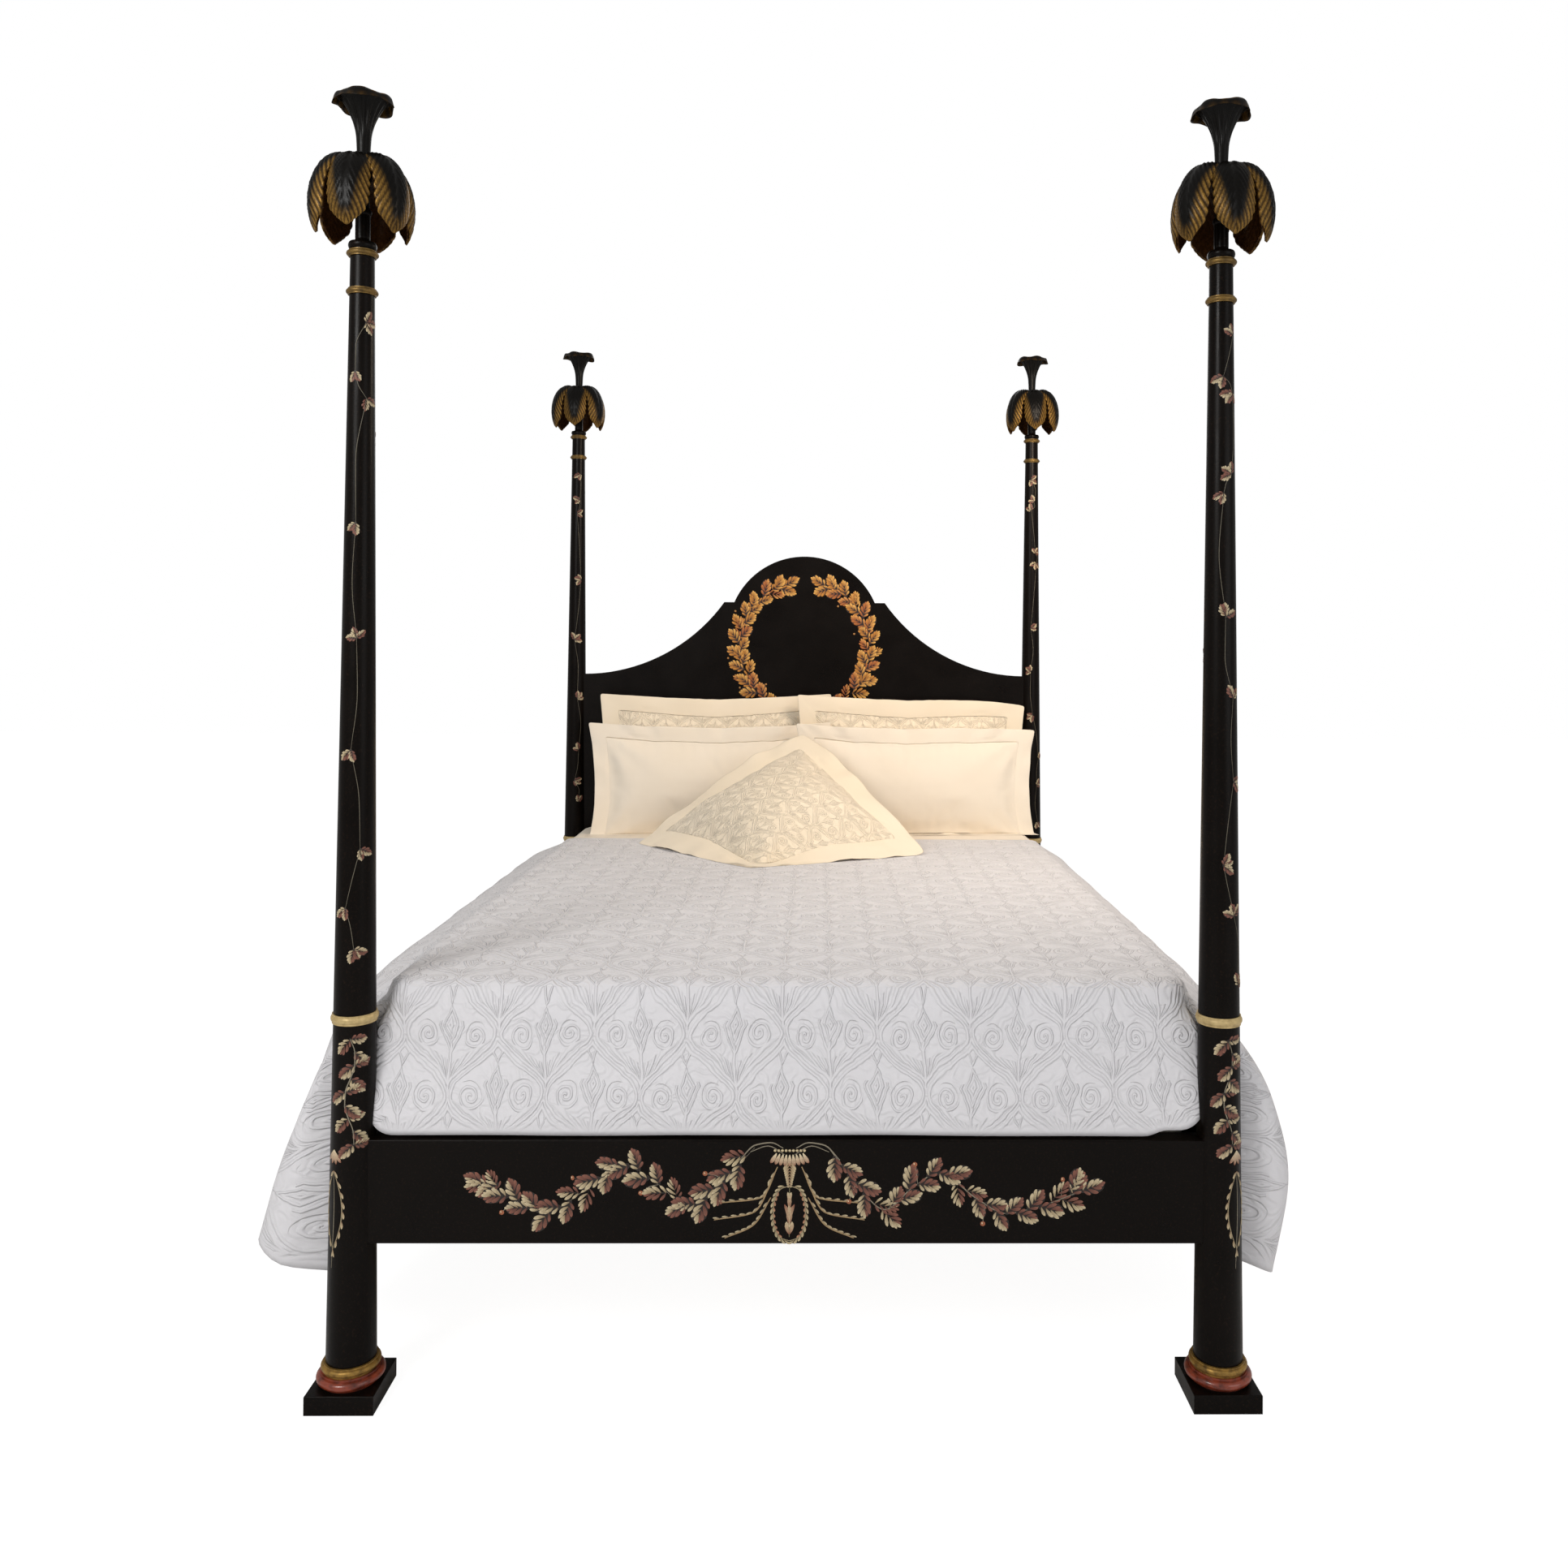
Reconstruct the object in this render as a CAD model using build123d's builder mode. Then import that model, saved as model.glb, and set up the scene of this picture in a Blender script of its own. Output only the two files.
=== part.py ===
from build123d import *
import os
from math import cos, radians, sin, sqrt

# A queen-size four poster bed: black lacquered tapering posts with gilt turned rings and palm finials,
# a shaped headboard, a low footboard, side rails hung on hooks, a slatted base and the made-up bedding.
# Sizes are in millimetres. X runs across the bed, +Y towards the head and +Z up. The origin is on the
# floor, midway between the four posts. Left and right are as seen from the foot.

# Bedding that the frame is built around
mattress_width = 1524.0
mattress_length = 2032.0
mattress_height = 210.0
mattress_edge_radius = 30.0
mattress_corner_radius = 60.0
box_spring_height = 190.0
box_spring_inset = 4.0
mattress_side_gap = 16.0
mattress_end_gap = 9.0

# Rails and boards
rail_thickness = 44.0
rail_height = 189.0
rail_bottom = 287.0
rail_edge_radius = 3.0
housing_clearance = 0.2
headboard_thickness = 32.0
headboard_tongue = 12.0
headboard_side_height = 1272.0
headboard_shoulder_height = 1527.0
headboard_arch_rise = 162.0
headboard_arch_half_width = 247.0
headboard_shoulder_width = 35.0

# Posts and their turned rings
post_height = 2113.0
post_foot_radius = 45.0
post_top_radius = 21.5
post_end_depth = 24.0
post_tenon_radius = 15.0
post_tenon_length = 22.0
plinth_side = 124.5
plinth_height = 34.0
plinth_edge_radius = 1.5
base_torus_radius = 60.5
base_torus_height = 22.0
base_ring_radius = 52.5
base_ring_height = 17.0
middle_ring_centre = 696.0
middle_ring_radius = 42.0
middle_ring_height = 17.0
neck_ring_centre = post_height - 80.0
cap_ring_centre = post_height - 9.0
neck_ring_radius = 28.7
neck_ring_height = 12.0

# Finials, which lift off on a round tenon
finial_tenon_radius = 10.0
finial_tenon_length = 50.0
finial_running_clearance = 0.05
finial_socket_spare = 2.0
finial_cap_radius = 25.5
finial_cap_height = 12.0
finial_neck_radius = 13.5
finial_bead_height = 69.0
finial_bead_radius = 16.0
finial_stem_radius = 11.5
finial_hub_height = 130.0
finial_hub_radius = 15.0
finial_hub_depth = 40.0
finial_core_height = 166.0
leaf_count = 6
leaf_rise = 18.0
leaf_reach = 84.0
leaf_drop = 140.0
leaf_width = 66.0
leaf_thickness = 6.0
flower_height = 125.0
flower_rim_radius = 54.0
flower_lobes = 5
flower_lobe_depth = 6.0
flower_wall = 4.0
flower_tenon_radius = 5.0
flower_tenon_length = 18.0
flower_bowl_height = 60.0

# Hooked rail fittings, one pair at each end of each side rail
fitting_plate_width = 30.0
fitting_plate_height = 140.0
fitting_plate_thickness = 3.0
hook_spacing = 76.0
hook_below_middle = 10.0
hook_thickness = 4.0
hook_height = 18.0
hook_lip = 15.0
hook_lift = 17.0
hook_clearance = 0.3
hook_pocket_width = 10.0
hook_pocket_depth = 9.0
hook_pocket_height = 132.0
screw_radius = 2.0
screw_head_radius = 4.0
screw_length = 28.0
plate_screw_side = 10.0
plate_screw_offset = 60.0
screw_sink = 2.0

# Slatted base
ledge_side = 30.0
ledge_lift = 8.0
ledge_end_gap = 30.0
ledge_screw_count = 6
ledge_screw_length = 48.0
slat_count = 9
slat_width = 89.0
slat_thickness = 19.0
slat_end_gap = 3.0
slat_screw_length = 38.0
slat_end_margin = 110.0
beam_width = 38.0
beam_height = 64.0
beam_end_gap = 25.0
leg_side = 44.0
leg_spacing = 860.0

# Sheet and coverlet
cloth_gap = 0.4
sheet_thickness = 1.5
sheet_drop = 180.0
coverlet_thickness = 5.0
coverlet_length = 1708.0
coverlet_lip = 44.0
coverlet_foot_drop = 289.0
coverlet_corner_cut = 16.0

# The coverlet's two side drops hang over the side rails in folds and flare behind the foot posts
drop_shoulder_reach = 96.0
drop_shoulder_fall = 118.0
drop_rail_reach = 142.0
drop_rail_fall = 285.0
drop_hem_reach = 150.0
drop_fall = 548.0
drop_flare = 104.0
drop_flare_length = 260.0
drop_fold_depth = 22.0
drop_fold_count = 6
drop_foot_margin = 57.0

# Pillows: two quilted ones at the back, two plain ones before them and a square cushion in front
pillow_flange_thickness = 3.0
pillow_seam_thickness = 5.0
pillow_rest_gap = 0.5
pillow_body_gap = 3.0
pillow_sink = 8.0
pillow_yaw = 4.8
pillow_overlap = 135.0
pillow_pair_centre = 38.0
pillow_row_slack = 14.0
back_pillow_width = 812.0
back_pillow_height = 537.0
back_pillow_thickness = 100.0
back_pillow_flange = 52.0
back_pillow_pinch = 14.0
back_pillow_lean = 3.0
front_pillow_width = 830.0
front_pillow_height = 440.0
front_pillow_thickness = 100.0
front_pillow_flange = 45.0
front_pillow_pinch = 15.0
front_pillow_lean = 6.0
cushion_side = 593.0
cushion_corner_angle = 78.4
cushion_thickness = 170.0
cushion_flange = 58.0
cushion_pinch = 20.0
cushion_slope = 27.0
cushion_turn = -12.0
cushion_centre_x = -70.0
cushion_rise = 124.0

# Places worked out from the sizes above
post_x = mattress_width / 2 + mattress_side_gap + rail_thickness / 2
post_y = mattress_length / 2 + mattress_end_gap + rail_thickness / 2
rail_top = rail_bottom + rail_height
rail_middle = rail_bottom + rail_height / 2
board_end_x = post_x - post_end_depth
rail_end_y = post_y - post_end_depth
ledge_top = rail_bottom + ledge_lift + ledge_side
slat_top = ledge_top + slat_thickness
mattress_bottom = slat_top + box_spring_height
mattress_top = mattress_bottom + mattress_height
board_face_y = post_y - rail_thickness / 2
rail_face_x = post_x - rail_thickness / 2
sheet_top = mattress_top + cloth_gap + sheet_thickness
coverlet_top_height = sheet_top + cloth_gap + coverlet_thickness
sides = {"left": -1, "right": 1}
ends = {"foot": -1, "head": 1}
corners = {f"{end}_{side}": (sides[side], ends[end]) for end in ends for side in sides}


def save(piece, name):
    """Labels a finished piece and writes it under its own name."""
    piece.label = name
    export_step(piece, f"parts/{name}.step")


def post_radius(height):
    """Radius of the tapering post at a height above the floor."""
    share = (height - plinth_height) / (post_height - plinth_height)
    return post_foot_radius + share * (post_top_radius - post_foot_radius)


def make_plinth():
    """The square block under a post, with a round socket for the post's foot tenon."""
    with BuildPart() as plinth:
        with BuildSketch():
            Rectangle(plinth_side, plinth_side)
        extrude(amount=plinth_height)
        fillet(plinth.edges().group_by(Axis.Z)[-1], plinth_edge_radius)
        with BuildSketch(Plane.XY.offset(plinth_height)):
            Circle(post_tenon_radius + housing_clearance)
        extrude(amount=-post_tenon_length - housing_clearance, mode=Mode.SUBTRACT)
    return plinth.part


def make_post(x, y, side, end):
    """A tapering round post with its foot tenon, finial socket, board housings and hook pocket."""
    turning_plane = Plane((x, y, 0), x_dir=(1, 0, 0), z_dir=(0, -1, 0))
    with BuildPart() as post:
        with BuildSketch(turning_plane):
            with BuildLine():
                Polyline(
                    (0, plinth_height - post_tenon_length),
                    (post_tenon_radius, plinth_height - post_tenon_length),
                    (post_tenon_radius, plinth_height),
                    (post_foot_radius, plinth_height),
                    (post_top_radius, post_height),
                    (0, post_height),
                    close=True,
                )
            make_face()
        revolve(axis=Axis((x, y, 0), (0, 0, 1)))
        with BuildSketch(Plane((x, y, post_height))):
            Circle(finial_tenon_radius + finial_running_clearance)
        extrude(amount=-finial_tenon_length - finial_socket_spare, mode=Mode.SUBTRACT)
        # Housings for the foot or head rail, across the bed, and for the side rail, along it
        housing_width = rail_thickness + 2 * housing_clearance
        housing_height = rail_height + 2 * housing_clearance
        with Locations((x - side * (post_end_depth - housing_clearance), y, rail_middle)):
            Box(
                post_foot_radius,
                housing_width,
                housing_height,
                align=(Align.MAX if side > 0 else Align.MIN, Align.CENTER, Align.CENTER),
                mode=Mode.SUBTRACT,
            )
        with Locations((x, y - end * (post_end_depth - housing_clearance), rail_bottom - housing_clearance)):
            Box(
                housing_width,
                post_foot_radius,
                housing_height + hook_lift,
                align=(Align.CENTER, Align.MAX if end > 0 else Align.MIN, Align.MIN),
                mode=Mode.SUBTRACT,
            )
        if end > 0:
            add(headboard_slot(side), mode=Mode.SUBTRACT)
        # Recess for the slotted plate, the hooks' pocket behind it and the plate's screw holes
        plate_back = post_end_depth - housing_clearance - fitting_plate_thickness
        with Locations((x, y - end * plate_back, rail_middle)):
            Box(
                fitting_plate_width,
                fitting_plate_thickness + housing_clearance,
                fitting_plate_height,
                align=(Align.CENTER, Align.MAX if end > 0 else Align.MIN, Align.CENTER),
                mode=Mode.SUBTRACT,
            )
            Box(
                hook_pocket_width,
                hook_pocket_depth,
                hook_pocket_height,
                align=(Align.CENTER, Align.MIN if end > 0 else Align.MAX, Align.CENTER),
                mode=Mode.SUBTRACT,
            )
        add(slot_plate_screws(side, end), mode=Mode.SUBTRACT)
    return post.part


def countersunk(screw_plane, length):
    """A countersunk screw: its head is flush with the plane, and its shank goes against the normal."""
    with BuildPart(mode=Mode.PRIVATE) as screw:
        with BuildSketch(Plane(screw_plane.origin, x_dir=screw_plane.x_dir, z_dir=screw_plane.y_dir)):
            with BuildLine():
                Polyline(
                    (0, 0),
                    (screw_head_radius, 0),
                    (screw_radius, screw_sink),
                    (screw_radius, length),
                    (0, length),
                    close=True,
                )
            make_face()
        revolve(axis=Axis(screw_plane.origin, -screw_plane.z_dir))
    return screw.part


def make_ring(centre, radius, height):
    """A turned collar round the post: a half round between two small flats, bored to the post's taper."""
    low, high = centre - height / 2, centre + height / 2
    flat = height * 0.16
    root = post_radius(low) + (radius - post_radius(low)) * 0.45
    with BuildPart() as ring:
        with BuildSketch(Plane.XZ):
            with BuildLine():
                Polyline((root, low + flat), (root, low), (post_radius(low), low))
                Line((post_radius(low), low), (post_radius(high), high))
                Polyline((post_radius(high), high), (root, high), (root, high - flat))
                ThreePointArc((root, high - flat), (radius, centre), (root, low + flat))
            make_face()
        revolve(axis=Axis.Z)
    return ring.part


def make_finial_core():
    """The turned spindle of the finial: tenon, cap, neck, bead, stem and the hub that carries the leaves."""
    base = post_height
    cap_top = base + finial_cap_height
    bead = base + finial_bead_height
    hub_low = base + finial_hub_height
    hub_high = hub_low + finial_hub_depth
    with BuildPart() as core:
        with BuildSketch(Plane.XZ):
            with BuildLine():
                Polyline(
                    (0, base - finial_tenon_length),
                    (finial_tenon_radius, base - finial_tenon_length),
                    (finial_tenon_radius, base),
                    (finial_cap_radius - 2, base),
                )
                ThreePointArc(
                    (finial_cap_radius - 2, base),
                    (finial_cap_radius, base + finial_cap_height / 2),
                    (finial_cap_radius - 2, cap_top),
                )
                Line((finial_cap_radius - 2, cap_top), (finial_neck_radius + 4, cap_top))
                ThreePointArc(
                    (finial_neck_radius + 4, cap_top),
                    (finial_neck_radius + 1, cap_top + 3),
                    (finial_neck_radius, cap_top + 9),
                )
                Line((finial_neck_radius, cap_top + 9), (finial_neck_radius, bead - 6))
                ThreePointArc(
                    (finial_neck_radius, bead - 6),
                    (finial_bead_radius, bead),
                    (finial_stem_radius, bead + 7),
                )
                Polyline(
                    (finial_stem_radius, bead + 7),
                    (finial_stem_radius, hub_low - 6),
                    (finial_hub_radius, hub_low),
                    (finial_hub_radius, hub_high),
                    (0, hub_high),
                    (0, base - finial_tenon_length),
                )
            make_face()
        revolve(axis=Axis.Z)
        with BuildSketch(Plane.XY.offset(hub_high)):
            Circle(flower_tenon_radius)
        extrude(amount=-flower_tenon_length, mode=Mode.SUBTRACT)
    return core.part


def make_finial_leaves():
    """Six drooping palm leaves: a curled shell of revolution, cut to leaf outlines."""
    hub_high = post_height + finial_hub_height + finial_hub_depth
    crown_z = hub_high - leaf_rise * 0.2
    tip_z = crown_z - leaf_drop
    side_z = crown_z - leaf_drop * 0.68
    half = leaf_thickness / 2
    half_width = leaf_width / 2
    leaves = []
    for n in range(leaf_count):
        azimuth = 360 / leaf_count * (n + 0.5)
        outward = Vector(cos(radians(azimuth)), sin(radians(azimuth)), 0)
        across = Vector(-outward.Y, outward.X, 0)
        with BuildPart(mode=Mode.PRIVATE) as leaf:
            # Half profile of the curl, from the hub over the crown to the tip
            with BuildSketch(Plane((0, 0, 0), x_dir=outward, z_dir=-across)):
                with BuildLine():
                    ThreePointArc(
                        (finial_hub_radius - 4, crown_z - leaf_rise - half),
                        (leaf_reach * 0.5, crown_z - leaf_thickness),
                        (leaf_reach - leaf_thickness, side_z),
                    )
                    ThreePointArc(
                        (leaf_reach - leaf_thickness, side_z),
                        (leaf_reach - leaf_thickness * 1.35, (side_z + tip_z) / 2),
                        (leaf_reach - leaf_thickness * 2.6, tip_z),
                    )
                    Line(
                        (leaf_reach - leaf_thickness * 2.6, tip_z),
                        (leaf_reach - leaf_thickness * 2.2, tip_z),
                    )
                    ThreePointArc(
                        (leaf_reach - leaf_thickness * 2.2, tip_z),
                        (leaf_reach - leaf_thickness * 0.4, (side_z + tip_z) / 2),
                        (leaf_reach, side_z),
                    )
                    ThreePointArc(
                        (leaf_reach, side_z),
                        (leaf_reach * 0.56, crown_z),
                        (finial_hub_radius - 4, crown_z - leaf_rise + half),
                    )
                    Line(
                        (finial_hub_radius - 4, crown_z - leaf_rise + half),
                        (finial_hub_radius - 4, crown_z - leaf_rise - half),
                    )
                make_face()
            revolve(axis=Axis.Z)
            # Outline seen from above, widening from the hub
            with BuildSketch(Plane((0, 0, tip_z - 5), x_dir=outward, z_dir=(0, 0, 1))):
                with BuildLine():
                    Polyline((6, 7), (leaf_reach * 0.55, half_width * 0.9), (leaf_reach * 1.1, half_width))
                    Polyline((leaf_reach * 1.1, half_width), (leaf_reach * 1.1, -half_width))
                    inward = (leaf_reach * 0.55, -half_width * 0.9)
                    Polyline((leaf_reach * 1.1, -half_width), inward, (6, -7))
                    Line((6, -7), (6, 7))
                make_face()
            extrude(amount=leaf_drop + 40, mode=Mode.INTERSECT)
            # Outline seen from ahead, narrowing to the tip
            with BuildSketch(Plane((0, 0, 0), x_dir=across, z_dir=outward)):
                with BuildLine():
                    Polyline(
                        (half_width, side_z + 20),
                        (half_width + 1, crown_z + 30),
                        (-half_width - 1, crown_z + 30),
                        (-half_width, side_z + 20),
                    )
                    ThreePointArc(
                        (-half_width, side_z + 20),
                        (-half_width * 0.66, tip_z + 26),
                        (-2, tip_z),
                    )
                    Line((-2, tip_z), (2, tip_z))
                    ThreePointArc(
                        (2, tip_z),
                        (half_width * 0.66, tip_z + 26),
                        (half_width, side_z + 20),
                    )
                make_face()
            extrude(amount=leaf_reach * 1.2, mode=Mode.INTERSECT)
            with BuildSketch(Plane.XY.offset(tip_z - 5)):
                Circle(finial_hub_radius)
            extrude(amount=leaf_drop + 40, mode=Mode.SUBTRACT)
        leaves.append(leaf.part)
    return Compound(children=leaves)


def make_finial_flower():
    """The trumpet flower on top, with a lobed rim, a hollow throat and a tenon into the hub."""
    base = post_height + finial_hub_height + finial_hub_depth
    top = base + flower_height
    rim = flower_rim_radius
    neck = finial_stem_radius + 0.5
    with BuildPart() as flower:
        with BuildSketch(Plane.XZ):
            with BuildLine():
                Polyline(
                    (0, base - flower_tenon_length),
                    (flower_tenon_radius, base - flower_tenon_length),
                    (flower_tenon_radius, base),
                    (neck, base),
                )
                Spline(
                    (neck, base),
                    (neck + 1.5, base + 44),
                    (rim * 0.42, base + 76),
                    (rim * 0.74, base + 92),
                    (rim, top),
                )
                Line((rim, top), (rim - flower_wall * 0.7, top))
                Spline(
                    (rim - flower_wall * 0.7, top),
                    (rim * 0.72 - flower_wall * 0.5, base + 92 + flower_wall),
                    (rim * 0.2, base + flower_bowl_height + 22),
                )
                Polyline(
                    (rim * 0.2, base + flower_bowl_height + 22),
                    (0, base + flower_bowl_height + 20),
                    (0, base - flower_tenon_length),
                )
            make_face()
        revolve(axis=Axis.Z)
        # Scoops between the lobes, cut radially into the rim
        for n in range(flower_lobes):
            azimuth = 360 / flower_lobes * (n + 0.5) - 90
            outward = Vector(cos(radians(azimuth)), sin(radians(azimuth)), 0)
            with BuildSketch(Plane((0, 0, top + 4), x_dir=(-outward.Y, outward.X, 0), z_dir=outward)):
                Circle(flower_lobe_depth + 4)
            extrude(amount=rim * 1.2, mode=Mode.SUBTRACT)
    return flower.part


def make_headboard():
    """The shaped panel: a centre arch between square shoulders, with concave sweeps down to the posts."""
    shoulder = headboard_arch_half_width + headboard_shoulder_width
    arch_top = headboard_shoulder_height + headboard_arch_rise
    with BuildPart() as board:
        with BuildSketch(Plane((0, post_y + headboard_thickness / 2, 0), x_dir=(1, 0, 0), z_dir=(0, -1, 0))):
            with BuildLine():
                Polyline(
                    (-board_end_x, headboard_side_height),
                    (-board_end_x, rail_top),
                    (board_end_x, rail_top),
                    (board_end_x, headboard_side_height),
                )
                TangentArc(
                    (board_end_x, headboard_side_height),
                    (shoulder, headboard_shoulder_height),
                    tangent=(-1, 0),
                )
                Line(
                    (shoulder, headboard_shoulder_height),
                    (headboard_arch_half_width, headboard_shoulder_height),
                )
                ThreePointArc(
                    (headboard_arch_half_width, headboard_shoulder_height),
                    (0, arch_top),
                    (-headboard_arch_half_width, headboard_shoulder_height),
                )
                Line(
                    (-headboard_arch_half_width, headboard_shoulder_height),
                    (-shoulder, headboard_shoulder_height),
                )
                TangentArc(
                    (-board_end_x, headboard_side_height),
                    (-shoulder, headboard_shoulder_height),
                    tangent=(1, 0),
                )
            make_face()
        extrude(amount=headboard_thickness)
        with Locations((0, post_y, rail_top)):
            Box(
                2 * board_end_x - 40,
                headboard_thickness / 2,
                2 * headboard_tongue,
                align=(Align.CENTER, Align.CENTER, Align.CENTER),
            )
    return board.part


def headboard_slot(side):
    """The space that the headboard's end takes in a head post and its ring."""
    with BuildPart(mode=Mode.PRIVATE) as slot:
        with Locations((side * (board_end_x + housing_clearance), post_y, rail_top)):
            Box(
                2 * post_foot_radius,
                headboard_thickness + 2 * housing_clearance,
                headboard_side_height - rail_top + housing_clearance,
                align=(Align.MAX if side > 0 else Align.MIN, Align.CENTER, Align.MIN),
            )
    return slot.part


def make_end_rail(end):
    """The low footboard, or the head rail, which is grooved on top for the headboard's tongue."""
    with BuildPart() as rail:
        with Locations((0, end * post_y, rail_middle)):
            Box(2 * board_end_x, rail_thickness, rail_height)
        fillet(rail.edges().filter_by(Axis.X), rail_edge_radius)
        if end > 0:
            with Locations((0, end * post_y, rail_top)):
                Box(
                    2 * board_end_x - 40 + 2 * housing_clearance,
                    headboard_thickness / 2 + 2 * housing_clearance,
                    2 * (headboard_tongue + housing_clearance),
                    mode=Mode.SUBTRACT,
                )
    return rail.part


def slot_plate_screws(side, end):
    """The two screws that hold a slotted plate in its post."""
    face = end * (rail_end_y + housing_clearance)
    return [
        countersunk(
            Plane(
                (side * post_x + k * plate_screw_side, face, rail_middle + k * plate_screw_offset),
                x_dir=(1, 0, 0),
                z_dir=(0, -end, 0),
            ),
            screw_length,
        )
        for k in (-1, 1)
    ]


def hook_plate_screws(side, end):
    """The two screws that hold a hooked plate in the end of its side rail."""
    return [
        countersunk(
            Plane(
                (
                    side * post_x + k * plate_screw_side,
                    end * rail_end_y,
                    rail_middle + k * plate_screw_offset,
                ),
                x_dir=(1, 0, 0),
                z_dir=(0, end, 0),
            ),
            screw_length,
        )
        for k in (-1, 1)
    ]


def make_slot_plate(side, end):
    """A steel plate with two slots, let into the post behind the rail's end."""
    face = end * (rail_end_y + housing_clearance)
    with BuildPart() as plate:
        with Locations((side * post_x, face, rail_middle)):
            Box(
                fitting_plate_width,
                fitting_plate_thickness,
                fitting_plate_height,
                align=(Align.CENTER, Align.MIN if end > 0 else Align.MAX, Align.CENTER),
            )
        for k in (-1, 1):
            arm_bottom = rail_middle + k * hook_spacing / 2 - hook_below_middle
            with Locations((side * post_x, face, arm_bottom - hook_clearance)):
                Box(
                    hook_thickness + 2 * hook_clearance,
                    4 * fitting_plate_thickness,
                    hook_height + hook_lift + 2 * hook_clearance,
                    align=(Align.CENTER, Align.CENTER, Align.MIN),
                    mode=Mode.SUBTRACT,
                )
        add(slot_plate_screws(side, end), mode=Mode.SUBTRACT)
    return plate.part


def make_hook_plate(side, end):
    """A steel plate with two down-turned hooks, let into the end of a side rail."""
    face = end * rail_end_y
    reach = housing_clearance + fitting_plate_thickness + hook_clearance
    outwards = Align.MIN if end > 0 else Align.MAX
    inwards = Align.MAX if end > 0 else Align.MIN
    with BuildPart() as plate:
        with Locations((side * post_x, face, rail_middle)):
            Box(
                fitting_plate_width,
                fitting_plate_thickness,
                fitting_plate_height,
                align=(Align.CENTER, inwards, Align.CENTER),
            )
        for k in (-1, 1):
            arm_bottom = rail_middle + k * hook_spacing / 2 - hook_below_middle
            with Locations((side * post_x, face, arm_bottom)):
                Box(
                    hook_thickness,
                    reach + hook_thickness,
                    hook_height,
                    align=(Align.CENTER, outwards, Align.MIN),
                )
            with Locations((side * post_x, face + end * reach, arm_bottom - hook_lip)):
                Box(
                    hook_thickness,
                    hook_thickness,
                    hook_lip + hook_height,
                    align=(Align.CENTER, outwards, Align.MIN),
                )
        add(hook_plate_screws(side, end), mode=Mode.SUBTRACT)
    return plate.part


def ledge_screws(side):
    """The screws that hold a slat ledge to the inner face of its side rail."""
    spacing = 2 * (board_face_y - ledge_end_gap - 60) / (ledge_screw_count - 1)
    return [
        countersunk(
            Plane(
                (
                    side * (rail_face_x - ledge_side),
                    (n - (ledge_screw_count - 1) / 2) * spacing,
                    ledge_top - ledge_side / 2,
                ),
                x_dir=(0, 1, 0),
                z_dir=(-side, 0, 0),
            ),
            ledge_screw_length,
        )
        for n in range(ledge_screw_count)
    ]


def slat_places():
    """The Y position of each slat."""
    span = 2 * (board_face_y - slat_end_margin)
    return [(n / (slat_count - 1) - 0.5) * span for n in range(slat_count)]


def slat_screws():
    """A screw through each end of every slat into the ledge below."""
    return [
        countersunk(
            Plane((side * (rail_face_x - ledge_side / 2), y, slat_top), x_dir=(1, 0, 0), z_dir=(0, 0, 1)),
            slat_screw_length,
        )
        for y in slat_places()
        for side in (-1, 1)
    ]


def make_side_rail(side):
    """A side rail, recessed at each end for its hooked plate."""
    with BuildPart() as rail:
        with Locations((side * post_x, 0, rail_middle)):
            Box(rail_thickness, 2 * rail_end_y, rail_height)
        fillet(rail.edges().filter_by(Axis.Y), rail_edge_radius)
        for end in (-1, 1):
            with Locations((side * post_x, end * rail_end_y, rail_middle)):
                Box(
                    fitting_plate_width,
                    2 * fitting_plate_thickness,
                    fitting_plate_height,
                    mode=Mode.SUBTRACT,
                )
            add(hook_plate_screws(side, end), mode=Mode.SUBTRACT)
        add(ledge_screws(side), mode=Mode.SUBTRACT)
    return rail.part


def make_ledges():
    """The two strips inside the side rails that the slats lie on."""
    with BuildPart() as ledges:
        for side in (-1, 1):
            with Locations((side * (rail_face_x - ledge_side / 2), 0, ledge_top - ledge_side / 2)):
                Box(ledge_side, 2 * (board_face_y - ledge_end_gap), ledge_side)
        add(ledge_screws(-1) + ledge_screws(1), mode=Mode.SUBTRACT)
        add(slat_screws(), mode=Mode.SUBTRACT)
    return ledges.part


def make_slats():
    """The slats across the bed."""
    with BuildPart() as slats:
        with Locations([(0, y, ledge_top) for y in slat_places()]):
            Box(
                2 * (rail_face_x - slat_end_gap),
                slat_width,
                slat_thickness,
                align=(Align.CENTER, Align.CENTER, Align.MIN),
            )
        add(slat_screws(), mode=Mode.SUBTRACT)
    return slats.part


def mattress_block(grow, grow_down):
    """The mattress's rounded block, grown evenly by a distance and reaching down past its bottom."""
    low = mattress_bottom - grow_down
    high = mattress_top + grow
    with BuildPart() as block:
        with Locations((0, 0, low)):
            Box(
                mattress_width + 2 * grow,
                mattress_length + 2 * grow,
                high - low,
                align=(Align.CENTER, Align.CENTER, Align.MIN),
            )
        fillet(block.edges().filter_by(Axis.Z), mattress_corner_radius + grow)
        fillet(block.edges().group_by(Axis.Z)[-1], mattress_edge_radius + grow)
        if not grow_down:
            fillet(block.edges().group_by(Axis.Z)[0], mattress_edge_radius)
    return block.part


def make_flat_sheet():
    """The sheet over the mattress, hanging down its sides."""
    below = mattress_height / 4
    with BuildPart() as sheet:
        add(mattress_block(cloth_gap + sheet_thickness, below))
        add(mattress_block(cloth_gap, 1.2 * below), mode=Mode.SUBTRACT)
        with Locations((0, 0, sheet_top - sheet_drop)):
            Box(
                2 * mattress_width,
                2 * mattress_length,
                1.5 * mattress_height,
                align=(Align.CENTER, Align.CENTER, Align.MAX),
                mode=Mode.SUBTRACT,
            )
    return sheet.part


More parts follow.
